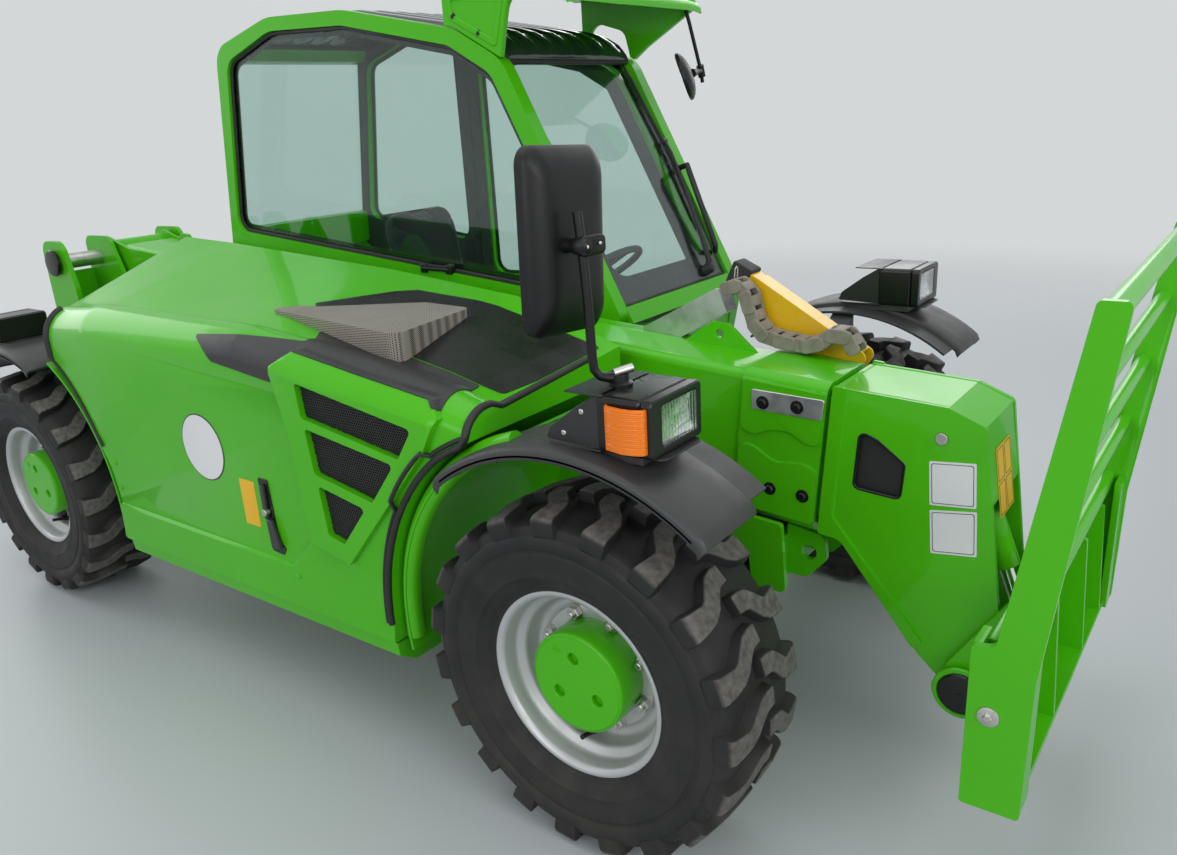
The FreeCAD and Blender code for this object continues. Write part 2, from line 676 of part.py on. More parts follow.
def cover_side_view(inset):
    """Side view of the cover between its two wheel arches, as a face square to Y."""
    radius = float(S.arch_radius) + inset
    front = Vector(float(S.front_axle_x), 0, float(axle_z))
    rear = Vector(float(rear_axle_x), 0, float(axle_z))
    low = float(S.cover_bottom) - (60 if inset else 0)

    def on_arch(centre, x):
        return Vector(x, 0, centre.z + math.sqrt(radius ** 2 - (x - centre.x) ** 2))

    rear_low_x = rear.x + radius
    rear_top_x = rear.x + 285 + inset
    front_low_x = front.x - radius
    front_top_x = front.x - 262 - inset
    rear_low = on_arch(rear, rear_low_x)
    rear_top = on_arch(rear, rear_top_x)
    front_top = on_arch(front, front_top_x)
    front_low = on_arch(front, front_low_x)
    high = 1400
    arch_rear = Part.Arc(rear_low, on_arch(rear, rear_low_x - 80), rear_top)
    arch_front = Part.Arc(front_top, on_arch(front, front_low_x + 80), front_low)
    corners_rear = Vector(rear_low_x, 0, low)
    corners_front = Vector(front_low_x - 12, 0, low)
    edges = [
        Part.LineSegment(corners_rear, rear_low), arch_rear,
        Part.LineSegment(rear_top, Vector(rear_top_x - 24 + inset * 0.2, 0, high)),
        Part.LineSegment(Vector(rear_top_x - 24 + inset * 0.2, 0, high), Vector(front_top.x, 0, high)),
        Part.LineSegment(Vector(front_top.x, 0, high), front_top), arch_front,
        Part.LineSegment(front_low, corners_front), Part.LineSegment(corners_front, corners_rear),
    ]
    return Part.Face(Part.Wire([edge.toShape() for edge in edges]))


def between(face):
    """A face square to Y carried from outside the cover to inside its inner edge."""
    start = float(S.cover_side) - 60
    moved = face.copy()
    moved.translate(Vector(0, start, 0))
    return moved.extrude(Vector(0, float(S.cover_inner) + 120 - start, 0))


# Grille openings in the cover's side, as corners ahead of the front axle and above the ground
GRILLES = (
    ("top", ((-812, 1004), (-410, 941), (-466, 862), (-804, 914))),
    ("middle", ((-798, 888), (-484, 844), (-576, 732), (-784, 768))),
    ("bottom", ((-778, 738), (-606, 708), (-706, 592), (-764, 604))),
)
# Corners of the frame round them, and of the panel pressed into the side: on the cover's face, then full depth
GRILLE_FRAME = (
    (-913, 1034), (-851, 1072), (-364, 1010), (-336, 972), (-382, 890), (-697, 536), (-846, 566), (-868, 862),
)
PANEL_TOP = ((-2000, 714), (-1520, 958), (-884, 958), (-884, 545), (-972, 451), (-2000, 451))
PANEL_FLOOR = ((-2000, 518), (-1487, 878), (-898, 866), (-898, 551), (-982, 457), (-2000, 457))


def grille_outline(points, grow):
    """A grille opening's corners, grown from its middle by a margin."""
    middle_x = sum(p[0] for p in points) / len(points)
    middle_z = sum(p[1] for p in points) / len(points)
    out = []
    for x, z in points:
        out.append((ahead(x + math.copysign(grow, x - middle_x)), z + math.copysign(grow, z - middle_z), 10))
    return out


outer_volume = cover_solid(0).common(between(cover_side_view(0)))
inner_volume = cover_solid(float(S.cover_wall)).common(between(cover_side_view(float(S.cover_wall))))
cover_shell = plain("cover_shell", outer_volume.cut(inner_volume))
cover_outside = plain("cover_outside", outer_volume)
openings = [
    slab("opening_" + name, "Y", [grille_outline(points, 0)], S.cover_side - 40, 120) for name,
    points in GRILLES
]


def polygon(rows, y):
    """A closed wire through side-view corners, at a place along Y."""
    return Part.makePolygon([Vector(float(ahead(x)), float(y), z) for x, z in rows + rows[:1]])


panel = plain("cover_panel", Part.makeLoft(
    [polygon(PANEL_TOP, S.cover_side), polygon(PANEL_FLOOR, S.cover_side + S.panel_press)], True, True))
frame_prism = Part.Face(polygon(GRILLE_FRAME, S.cover_side - 80)).extrude(Vector(0, 200, 0))
raised_volume = cover_solid(-float(S.grille_rise)).common(between(cover_side_view(0))).cut(inner_volume)
frame = plain("cover_frame", raised_volume.common(frame_prism))
cover_lugs = []
cover_bores = []
for name, x, edge_z in HINGE_POSTS:
    z = edge_z - float(S.cover_hinge_drop)
    for place_name, start in (("behind", x - 38), ("ahead", x + 24)):
        cover_lugs.append(slab("cover_lug_%s_%s" % (name, place_name), "X", [[
            (S.cover_hinge_y - 13, z - 12, 8), (S.cover_hinge_y + 13, z - 12, 8),
            (S.cover_hinge_y + 13, edge_z - 8),
            (S.cover_hinge_y - 13, edge_z - 8)]], start, 14))
    cover_bores.append(hinge_rod("cover_bore_" + name, S.hinge_pin + S.fit_gap, 120, x, z))
node("engine_cover", less("engine_cover", joined("cover_with_frame", [cover_shell, frame] + cover_lugs),
                          openings + cover_bores + [panel]))
node("cover_grilles", apart("cover_grilles", [
    slab("grille_" + name, "Y", [grille_outline(points, 8)], S.cover_side + S.cover_wall, 6)
    for name, points in GRILLES]))

hump = slab("intake_hump", "Z", [[
    (ahead(-1190), -650, 20), (ahead(-572), -748, 30), (ahead(-625), -430, 30), (ahead(-1010), -400, 30)]],
    960, 158)
node("air_intake", less("air_intake", hump, [cover_outside]))


# Cab


# Side view of the cab frame: outside and window, as places ahead of the front axle and heights,
# with the corner radius
CAB_OUTSIDE = (
    (-2462, 1085, 30), (-2345, 1905, 95), (-2010, 1985, 300), (-1600, 1968, 300), (-1090, 1862, 160),
    (-905, 1760, 140), (-486, 960, 30),
)
CAB_WINDOW = (
    (-2398, 1215, 60), (-2290, 1852, 80), (-2010, 1938, 200), (-1610, 1920, 200), (-1120, 1816, 110),
    (-952, 1722, 100), (-622, 1090, 50), (-700, 1046, 60), (-860, 1062, 60),
)
CAB_BODY = ((-2462, 1085), (-486, 960), (-520, 800), (-640, 480), (-1915, 480), (-1950, 960), (-2400, 1010))


def cab_points(rows):
    """Outline points of a cab side view."""
    return [(ahead(row[0]),) + tuple(row[1:]) for row in rows]


right_ring = slab("right_ring", "Y", [cab_points(CAB_OUTSIDE), cab_points(CAB_WINDOW)], S.cab_right,
                  S.cab_tube)
LEFT_SIDE = (
    (-2462, 1085, 30), (-2345, 1905, 95), (-2010, 1985, 300), (-1600, 1968, 300), (-1090, 1862, 160),
    (-905, 1760, 140), (-486, 960, 30), (-520, 800, 40), (-640, 480, 20), (-1915, 480, 20), (-1950, 960, 60),
    (-2400, 1010, 40),
)
DOOR = (
    (-1700, 545, 50), (-1700, 1888, 50), (-1590, 1902, 120), (-1130, 1802, 110), (-972, 1712, 100),
    (-568, 950, 60),
    (-690, 545, 60),
)
DOOR_WINDOW = (
    (-1640, 960, 60), (-1640, 1834, 40), (-1560, 1842, 30), (-1155, 1748, 60), (-1016, 1670, 60),
    (-640, 958, 50),
)
QUARTER_WINDOW = ((-2385, 1190, 50), (-2290, 1845, 70), (-2010, 1930, 200), (-1765, 1916, 40),
                  (-1765, 1100, 50))
door_opening = [(ahead(x), z, r) for x, z, r in (
    (-1707, 538, 57), (-1707, 1895, 57), (-1590, 1909, 120), (-1127, 1809, 117), (-966, 1716, 107),
    (-560, 951, 67),
    (-685, 538, 67))]
left_ring = slab("left_ring", "Y", [cab_points(LEFT_SIDE), door_opening, cab_points(QUARTER_WINDOW)],
                 S.cab_left - S.cab_tube, S.cab_tube)
inside_start = S.cab_right + S.cab_tube
inside_width = S.cab_left - S.cab_tube - inside_start


def cross_bar(name, points):
    """A bar across the cab between its side frames, from its side view."""
    return slab(name, "Y", [[(ahead(x), z) for x, z in points]], inside_start, inside_width)


bars = [
    cross_bar("bar_rear_low", ((-2460, 1086), (-2440, 1220), (-2400, 1214), (-2410, 1082))),
    cross_bar("bar_rear_top", ((-2345, 1850), (-2338, 1900), (-2280, 1915), (-2290, 1858))),
    cross_bar("bar_front_top", ((-1000, 1790), (-1000, 1836), (-930, 1786), (-940, 1744))),
    cross_bar("bar_front_low", ((-520, 950), (-548, 1010), (-516, 1014), (-490, 966))),
]
door_hinge_x = ahead(-S.door_hinge_back)
door_hinge_y = S.cab_left + S.door_hinge_out
HINGE_HEIGHTS = (("low", 640), ("high", 1580))
hinge_ears = []
for name, z in HINGE_HEIGHTS:
    hinge_ears.append(block("door_ear_" + name, (door_hinge_x - 40, S.cab_left - 4, z), (34, 24, 14)))
    hinge_ears.append(rod("door_knuckle_" + name, "Z", S.hinge_pin + 5, 14, door_hinge_x, door_hinge_y, z))
    hinge_ears.append(rod("door_pin_" + name, "Z", S.hinge_pin, 62, door_hinge_x, door_hinge_y, z))
node("cab_frame", joined("cab_frame", [right_ring, left_ring] + bars + hinge_ears))

wall_right = slab("cab_wall_right", "Y", [[(ahead(x), z) for x, z in (
    (-2452, 1083), (-490, 958), (-520, 800), (-640, 480), (-1915, 480), (-1950, 960), (-2400, 1010))]],
    S.cab_right, S.cab_sheet)
floor_start = S.cab_right + S.cab_sheet
floor_width = S.cab_left - S.cab_tube - floor_start
cab_floor = slab("cab_floor_band", "Y", [[(ahead(x), z) for x, z in (
    (-505, 944), (-520, 800), (-640, 480), (-1915, 480), (-1950, 960), (-2400, 1010), (-2452, 1078),
    (-2432, 1078), (-2392, 1025), (-1936, 974), (-1901, 495), (-650, 495), (-534, 803), (-520, 944))]],
    floor_start, floor_width)
node("cab_body", joined("cab_body", [wall_right, cab_floor]))

glass_in = (S.cab_tube - S.glass) / 2
side_glass = slab("side_glass", "Y", [cab_points(CAB_WINDOW)], S.cab_right + glass_in, S.glass)
quarter_glass = slab("quarter_glass", "Y", [cab_points(QUARTER_WINDOW)], S.cab_left - S.cab_tube + glass_in,
                     S.glass)
rear_glass = less("rear_glass", cross_bar(
    "rear_pane", ((-2428, 1210), (-2328, 1860), (-2322, 1860), (-2422, 1210))), bars[:2])
wind_glass = less("wind_glass", cross_bar(
    "wind_pane", ((-965, 1790), (-742, 1424), (-528, 1000), (-522, 1000), (-735, 1426), (-959, 1792))),
    bars[2:])
node("cab_glass", apart("cab_glass", [side_glass, quarter_glass, rear_glass, wind_glass]))

roof = slab("cab_roof", "Y", [[(ahead(x), z) for x, z in (
    (-2270, 1917), (-2010, 1986), (-1600, 1969), (-1100, 1866), (-1002, 1840), (-1002, 1820), (-1100, 1846),
    (-1600, 1948), (-2010, 1964), (-2264, 1897))]], inside_start, inside_width)
node("cab_roof", roof)

visor = slab("roof_guard_plate", "Y", [[(ahead(x), z) for x, z in (
    (-1180, 1992), (-700, 1956), (-640, 1922), (-640, 1902), (-708, 1934), (-1180, 1970))]],
    S.cab_right, S.cab_left - S.cab_right)
guard_feet = []
for name, y in (("right", S.cab_right), ("left", S.cab_left - 26)):
    guard_feet.append(slab("guard_foot_" + name, "Y", [[(ahead(x), z) for x, z in (
        (-1130, 1870.5), (-1130, 1972), (-1000, 1962), (-880, 1952), (-905, 1760.5), (-1090, 1862.5))]], y,
        26))
node("roof_guard", less("roof_guard", joined("roof_guard_parts", [visor] + guard_feet), [
    slab("guard_clear", "Y", [cab_points(CAB_OUTSIDE)], S.cab_right - 5, S.cab_left - S.cab_right + 10)]))

door = [slab("door_sheet", "Y", [cab_points(DOOR), cab_points(DOOR_WINDOW)], S.cab_left - 42, 42)]
door_bores = []
for name, z in HINGE_HEIGHTS:
    low = z + 14 + float(S.fit_gap)
    door.append(rod("door_eye_" + name, "Z", S.hinge_pin + 5, 40, door_hinge_x, door_hinge_y, low))
    door.append(block("door_arm_" + name, (door_hinge_x, S.cab_left - 3, low), (48, 12, 40)))
    door_bores.append(rod("door_bore_" + name, "Z", S.hinge_pin + S.fit_gap, 60, door_hinge_x, door_hinge_y,
                          low - 5))
node("cab_door", less("cab_door", joined("cab_door_parts", door), door_bores))
node("door_glass", slab("door_glass", "Y", [cab_points(DOOR_WINDOW)], S.cab_left - 24, S.glass))


# Inside the cab


seat_y = (S.cab_right + S.cab_left) / 2
seat_base = block("seat_base", (ahead(-1560), seat_y - 200, 495), (380, 400, 200))
seat_cushion = slab("seat_cushion", "Y", [[
    (ahead(-1640), 695.3, 20), (ahead(-1150), 695.3, 30), (ahead(-1140), 800, 40), (ahead(-1560), 790, 20),
    (ahead(-1670), 1320, 50), (ahead(-1790), 1310, 50)]], seat_y - 225, 450)
node("seat_base", seat_base)
node("seat", seat_cushion)
column = slab("column_post", "Y", [[
    (ahead(-760), 495), (ahead(-700), 495), (ahead(-820), 1010), (ahead(-860), 1000)]], seat_y - 40, 80)
grip = Part.makePolygon([Vector(178 + 13 * math.cos(k * math.pi / 4), 0, 13 * math.sin(k * math.pi / 4))
                         for k in range(9)])
wheel_turn = Part.Face(grip).revolve(Vector(), Vector(0, 0, 1), 360)
wheel_turn = wheel_turn.fuse([
    Part.makeBox(340, 26, 12, Vector(-170, -13, -6)), Part.makeCylinder(42, 84, Vector(0, 0, -76))])
steering = plain("steering_rim", wheel_turn)
steering.Placement = Placement(Vector(float(ahead(-872)), float(seat_y), 1042),
                               Rotation(Vector(0, 1, 0), -32))
node("steering_column", joined("steering_column", [column, steering]))
dash = slab("dash_body", "Y", [[
    (ahead(-538), 800), (ahead(-690), 800, 20), (ahead(-700), 900, 40), (ahead(-560), 948),
    (ahead(-524), 942)]],
    floor_start, S.cab_left - S.cab_tube - floor_start - 300)
console = slab("console", "Y", [[
    (ahead(-1700), 495), (ahead(-1700), 800, 30), (ahead(-1180), 830, 40), (ahead(-1120), 760, 30),
    (ahead(-1120), 495)]],
    floor_start, 110)
node("dash_console", apart("dash_console", [dash, console]))


# Boom. Its pieces are drawn along X from the boom pivot and then laid to the boom's slope.


def lay(thing):
    """Lays a piece drawn in the boom's own frame to the lowered boom."""
    thing.Placement = Placement(Vector(), Rotation(Vector(0, 1, 0), float(S.boom_slope)))
    bind(thing, ".Placement.Rotation.Angle", S.boom_slope)
    place(thing, ahead(-S.boom_pivot_back), 0.0, S.boom_pivot_z)
    return thing


def section(half_width, half_height, radius):
    """Rectangular section square to X about the boom's centre line."""
    middle = -S.boom_drop
    return [
        (S.boom_y - half_width, middle - half_height, radius), (S.boom_y + half_width, middle - half_height,
                                                                radius),
        (S.boom_y + half_width, middle + half_height, radius), (S.boom_y - half_width, middle + half_height,
                                                                radius),
    ]


half_w = S.boom_width / 2
half_h = S.boom_height / 2
boom_top = half_h - S.boom_drop
boom_low = -half_h - S.boom_drop
tube = slab("outer_tube", "X", [section(half_w, half_h, 26), section(half_w - S.boom_wall,
                                                                     half_h - S.boom_wall, 18)],
            Size(120, "120"), S.boom_front - 120)
collar = slab("outer_collar", "X", [section(half_w + S.collar_wall, half_h + S.collar_wall, 34),
                                    section(half_w, half_h, 26)], S.boom_front - S.collar_length,
                                    S.collar_length)
# Pads on the sides of the collar, with a wave between the upper and the lower one
pad_low = S.boom_front - S.collar_length + 6
pad_high = S.boom_front - 6
COLLAR_PADS = (
    ("upper", [(pad_low, 40, 16), (pad_high, 40, 6), (pad_high, -96, 18), (pad_high - 36, -92, 24),
               (pad_high - 80, -70, 50),
               (pad_high - 130, -78, 40), (pad_high - 170, -100, 30), (pad_low, -92, 24)]),
    ("lower", [(pad_low, -128, 20), (pad_low + 40, -130, 40), (pad_low + 100, -160, 50),
               (pad_high - 40, -146, 40),
               (pad_high, -156, 20), (pad_high, -300, 8), (pad_low, -300, 14)]),
)
pads_outside = []
for name, outline in COLLAR_PADS:
    for side, y in (("right", S.boom_y - half_w - S.collar_wall - S.collar_pad),
                    ("left", S.boom_y + half_w + S.collar_wall)):
        pads_outside.append(slab("collar_pad_%s_%s" % (name, side), "Y", [outline], y, S.collar_pad))
tail_outline = [
    (-70, 40, 40), (20, 78, 40), (160, boom_top - 6, 30), (420, boom_top - 6, 20), (420, boom_low + 30, 20),
    (60, boom_low + 30, 80), (-60, -60, 40),
]
tail_bore = ring(0, 0, S.boom_pivot_radius + S.fit_gap)
tails = []
for name, y in (("right", S.boom_y - half_w - 14), ("left", S.boom_y + half_w)):
    tails.append(slab("tail_" + name, "Y", [tail_outline, tail_bore], y, 14))
boss = slab("tail_boss", "Y", [ring(0, 0, 58), tail_bore], S.boom_y - half_w, S.boom_width)
lug_parts = []
# Lifting lugs on the boom: name, place along it, height, reach of the foot behind and ahead, place across
TOP_LUGS = (("rear", 560, 90, 95, 95, S.boom_y - half_w + 8),
            ("middle", 1180, 70, 95, 95, S.boom_y - half_w + 8),
            ("front", 2811, 66, 108, 116, S.boom_y + 40))
for name, u, tall, behind, before, y in TOP_LUGS:
    lug_parts.append(slab("top_lug_" + name, "Y", [[
        (u - behind, boom_top - 3), (u - 26, boom_top + tall, 14), (u + 24, boom_top + tall, 14),
        (u + before, boom_top - 3)], ring(u, boom_top + tall - 30, 12)], y, 12))
eye_dx = S.boom_pivot_back - S.lift_eye_back
eye_dz = S.lift_eye_z - S.boom_pivot_z
slope = math.radians(float(S.boom_slope))
eye_u = Size(float(eye_dx) * math.cos(slope) - float(eye_dz) * math.sin(slope),
             "(%s * cos(Sizes.boom_slope * 1deg) - %s * sin(Sizes.boom_slope * 1deg))" % (eye_dx.text, eye_dz.text))
eye_w = Size(float(eye_dx) * math.sin(slope) + float(eye_dz) * math.cos(slope),
             "(%s * sin(Sizes.boom_slope * 1deg) + %s * cos(Sizes.boom_slope * 1deg))" % (eye_dx.text, eye_dz.text))
lift_side = S.lift_eye_width / 2 + S.running_gap
for name, y in (("right", S.boom_y - lift_side - 14), ("left", S.boom_y + lift_side)):
    lug_parts.append(slab("lift_lug_" + name, "Y", [[
        (eye_u - 150, boom_low + 3), (eye_u + 110, boom_low + 3), (eye_u + 40, eye_w - 36, 26),
        (eye_u - 40, eye_w - 36, 26)], ring(eye_u, eye_w, S.lift_pin)], y, 14))
boom_outer = joined("boom_outer", [tube, collar, boss] + tails + lug_parts + pads_outside)
node("boom_outer", lay(boom_outer))

stage_half_w = half_w - S.boom_wall - S.stage_gap
stage_half_h = half_h - S.boom_wall - S.stage_gap
stage_front = S.boom_front + S.head_gap
stage = slab("stage_tube", "X", [section(stage_half_w, stage_half_h, 18),
                                 section(stage_half_w - 8, stage_half_h - 8, 10)],
             S.stage_rear, stage_front - S.stage_rear)
pads = []
for name, at in (("front", S.boom_front - 70), ("rear", S.stage_rear + 10)):
    for spot, z in (("top", stage_half_h - S.boom_drop),
                    ("low", -stage_half_h - S.boom_drop - S.stage_gap + S.fit_gap)):
        pads.append(block("pad_%s_%s" % (name, spot), (at, S.boom_y - 70, z),
                          (60, 140, S.stage_gap - S.fit_gap)))
node("boom_inner", lay(joined("boom_inner", [stage] + pads)))

head_half = S.head_width / 2
head_side = [
    (stage_front, 62, 10), (stage_front + 262, 66, 12), (stage_front + 348, 38, 16), (3657, -452, 20),
    (3630, -500, 30), (S.tip_u + 48, S.tip_w + 20, 50), (S.tip_u + 6, S.tip_w - 58, 50),
    (S.tip_u - 60, S.tip_w - 10, 50),
    (3482, -560, 60), (3262, -318, 40), (stage_front, -318, 10),
]
head_window = [(3276, -30, 16), (3322, -44, 12), (3392, -88, 14), (3392, -178, 16), (3276, -178, 16)]
tip_bore = ring(S.tip_u, S.tip_w, S.tip_pin_radius + S.fit_gap)
pin_u = S.tip_u - 140
pin_w = S.tip_w + 590
head_pin = ring(pin_u, pin_w, S.tilt_pin + S.fit_gap)
head_parts = []
for name, y in (("right", S.boom_y - head_half), ("left", S.boom_y + head_half - S.head_wall)):
    head_parts.append(slab("head_side_" + name, "Y", [head_side, head_window, tip_bore, head_pin], y,
                           S.head_wall))
head_inner = S.head_width - S.head_wall * 2
head_start = S.boom_y - head_half + S.head_wall
head_parts.append(slab("head_back", "Y", [[
    (stage_front, -316), (stage_front, 60), (stage_front + 16, 60), (stage_front + 16, -316)]], head_start,
    head_inner))
head_parts.append(slab("head_top", "Y", [[
    (stage_front + 16, 48), (stage_front + 16, 61), (stage_front + 262, 65), (stage_front + 346, 37),
    (3590, -140), (3576, -140), (stage_front + 334, 30), (stage_front + 256, 53)]], head_start, head_inner))
for name, y in (("right", S.boom_y - head_half - 8), ("left", S.boom_y + head_half)):
    head_parts.append(slab("head_flange_" + name, "Y", [[
        (stage_front, -318, 10), (stage_front, 66, 4), (stage_front + 30, 66, 4),
        (stage_front + 30, -262, 30),
        (3490, -524, 4), (3470, -546, 4), (3262, -318, 40)]], y, 8))
head_parts.append(slab("head_tip_tube", "Y", [ring(S.tip_u, S.tip_w, 46), tip_bore], head_start, head_inner))
node("boom_head", lay(joined("boom_head", head_parts)))


# Lift cylinder, drawn along X from its base pin and then turned to its line


def towards(start, end):
    """Angle about Y that turns +X to the line between two places, and the length of the line."""
    across = float(end[0]) - float(start[0])
    up = float(end[1]) - float(start[1])
    return -math.degrees(math.atan2(up, across)), math.hypot(across, up)


def cylinder_pair(name, start, end, sizes):
    """A barrel and its rod from a base pin to a rod pin, each with an eye."""
    bore, rod_radius, eye, pin_radius, width, barrel_end, rod_start = sizes
    angle, length = towards(start, end)
    y = S.boom_y
    neck = eye * 0.6
    floor = rod_start - S.cylinder_floor
    tube = rod(name + "_tube", "X", bore, barrel_end - neck, neck, y, 0.0)
    base = rod(name + "_base_eye", "Y", eye, width, 0.0, y - width / 2, 0.0)
    inside = rod(name + "_bore", "X", rod_radius + S.fit_gap * 0.2, barrel_end, floor, y, 0.0)
    hole = rod(name + "_base_hole", "Y", pin_radius + S.fit_gap, width + 10, 0.0, y - width / 2 - 5, 0.0)
    barrel = less(name + "_barrel", joined(name + "_barrel_parts", [tube, base]), [inside, hole])
    shaft = rod(name + "_shaft", "X", rod_radius, length - rod_start - neck, rod_start, y, 0.0)
    tip = rod(name + "_rod_eye", "Y", eye, width, length, y - width / 2, 0.0)
    tip_hole = rod(name + "_rod_hole", "Y", pin_radius + S.fit_gap, width + 10, length, y - width / 2 - 5,
                   0.0)
    ram = less(name + "_rod", joined(name + "_rod_parts", [shaft, tip]), [tip_hole])
    for thing in (barrel, ram):
        thing.Placement = Placement(Vector(float(start[0]), 0, float(start[1])),
                                    Rotation(Vector(0, 1, 0), angle))
    return barrel, ram


lift_start = (ahead(-S.lift_base_back), S.lift_base_z)
lift_end = (ahead(-S.lift_eye_back), S.lift_eye_z)
lift_barrel, lift_ram = cylinder_pair("lift", lift_start, lift_end, (
    S.lift_bore, S.lift_rod, S.lift_eye, S.lift_pin, S.lift_eye_width, S.lift_barrel, S.lift_rod_start))
node("lift_barrel", lift_barrel)
node("lift_rod", lift_ram)
node("lift_pin", rod("lift_pin", "Y", S.lift_pin, S.channel_width + 2 * S.channel_plate + 16,
                     ahead(-S.lift_base_back),
                     plate_right - 8, S.lift_base_z))


def on_boom(u, w):
    """Place (x, z) of a point given in the boom's frame."""
    return (float(ahead(-S.boom_pivot_back)) + float(u) * math.cos(slope) + float(w) * math.sin(slope),
            float(S.boom_pivot_z) - float(u) * math.sin(slope) + float(w) * math.cos(slope))


tip_x, tip_z = on_boom(S.tip_u, S.tip_w)
tilt_start = on_boom(pin_u, pin_w)
tilt_end = (tip_x + float(S.tilt_eye_x), tip_z + float(S.tilt_eye_z))
tilt_barrel, tilt_ram = cylinder_pair("tilt", tilt_start, tilt_end, (
    S.tilt_bore, S.tilt_rod, S.tilt_eye, S.tilt_pin, S.tilt_eye_width, S.tilt_barrel, S.tilt_rod_start))
node("tilt_barrel", tilt_barrel)
node("tilt_rod", tilt_ram)
node("tilt_pin", lay(apart("tilt_pin", [
    rod("tilt_pin_bar", "Y", S.tilt_pin, S.head_width + 12, pin_u, S.boom_y - head_half - 6, pin_w)])))


# Carriage, drawn upright from its pivot


def seat_carriage(thing):
    """Puts a piece drawn about the carriage pivot on that pivot."""
    thing.Placement = Placement(Vector(tip_x, 0, tip_z), Rotation())
    return thing


carriage_half = S.carriage_width / 2
carriage_right = S.boom_y - carriage_half
lean = S.carriage_lean
tall = S.carriage_height
side_outline = [
    (96, -10, 8), (208, -10, 8), (212, 300, 30), (150 + lean + 44, tall, 10), (150 + lean - 8, tall, 10),
    (138, 350, 20),
    (96, 345, 8),
]
carriage_parts = []
for name, y in (("right", carriage_right), ("left", carriage_right + S.carriage_width - 16)):
    carriage_parts.append(slab("carriage_side_" + name, "Y", [side_outline], y, 16))
for name, y in (("right", carriage_right + 16), ("left", carriage_right + S.carriage_width - 16 - 70)):
    carriage_parts.append(slab("carriage_post_" + name, "Y", [[
        (96, -10), (206, -10), (206, 345), (190, 345), (190, 8), (112, 8), (112, 345), (96, 345)]], y, 70))
# Backrest tubes: height as a share of the carriage's, radius
TUBES = ((0.975, 21), (0.818, 16), (0.657, 16), (0.4975, 16), (0.3333, 21))
for i, (share, radius) in enumerate(TUBES):
    z = tall * share
    x = 160 + (lean + 2) * (z - tall * TUBES[-1][0]) / (tall * (TUBES[0][0] - TUBES[-1][0]))
    carriage_parts.append(rod("carriage_tube_%d" % i, "Y", radius, S.carriage_width - 32, x,
                              carriage_right + 16, z))
back_plate = [(carriage_right + 66, 10), (carriage_right + S.carriage_width - 66, 10),
              (carriage_right + S.carriage_width - 66, 330), (carriage_right + 66, 330)]
tilt_side = S.tilt_bore + S.running_gap
holes = [[(S.boom_y - tilt_side, 78, 12), (S.boom_y + tilt_side, 78, 12), (S.boom_y + tilt_side, 312, 12),
          (S.boom_y - tilt_side, 312, 12)]]
for y in (-330, 205):
    holes.append([(S.boom_y + y - 90 + 65, 60, 20), (S.boom_y + y + 65 + 40, 60, 20),
                  (S.boom_y + y + 105, 280, 20),
                  (S.boom_y + y - 25, 280, 20)])
carriage_parts.append(slab("carriage_back", "X", [back_plate] + holes, 112, 14))
for i, y in enumerate((-400, -170, 150, 380)):
    carriage_parts.append(slab("carriage_rib_%d" % i, "Y", [[(112, 10), (198, 10), (180, 300), (126, 330),
                                                             (112, 330)]],
                               S.boom_y + y, 14))
carriage_parts.append(block("carriage_beam", (112, carriage_right + 66, -8),
                            (86, S.carriage_width - 132, 18)))
for name, y in (("right", S.boom_y - head_half - 12 - 20), ("left", S.boom_y + head_half + 12)):
    carriage_parts.append(slab("carriage_ear_" + name, "Y", [[
        (-56, -10, 40), (-10, -58, 40), (40, -46, 30), (112, -8), (112, 250), (80, 250, 30), (-40, 60, 50)],
        ring(0, 0, S.tip_pin_radius + S.fit_gap)], y, 20))
for name, y in (("right", S.boom_y - tilt_side - 12), ("left", S.boom_y + tilt_side)):
    carriage_parts.append(slab("tilt_lug_" + name, "Y", [[
        (112, 90), (112, 215), (66, 184, 20), (52, 140, 20), (76, 112, 20)],
        ring(S.tilt_eye_x, S.tilt_eye_z, S.tilt_pin)], y, 12))
node("carriage", seat_carriage(joined("carriage", carriage_parts)))
tip_pin = rod("tip_pin", "Y", S.tip_pin_radius, S.head_width + 24 + 40 + 16, 0.0,
              S.boom_y - head_half - 12 - 20 - 8, 0.0)
node("carriage_pin", seat_carriage(apart("carriage_pin", [tip_pin])))


# Guards, lamps and mirrors


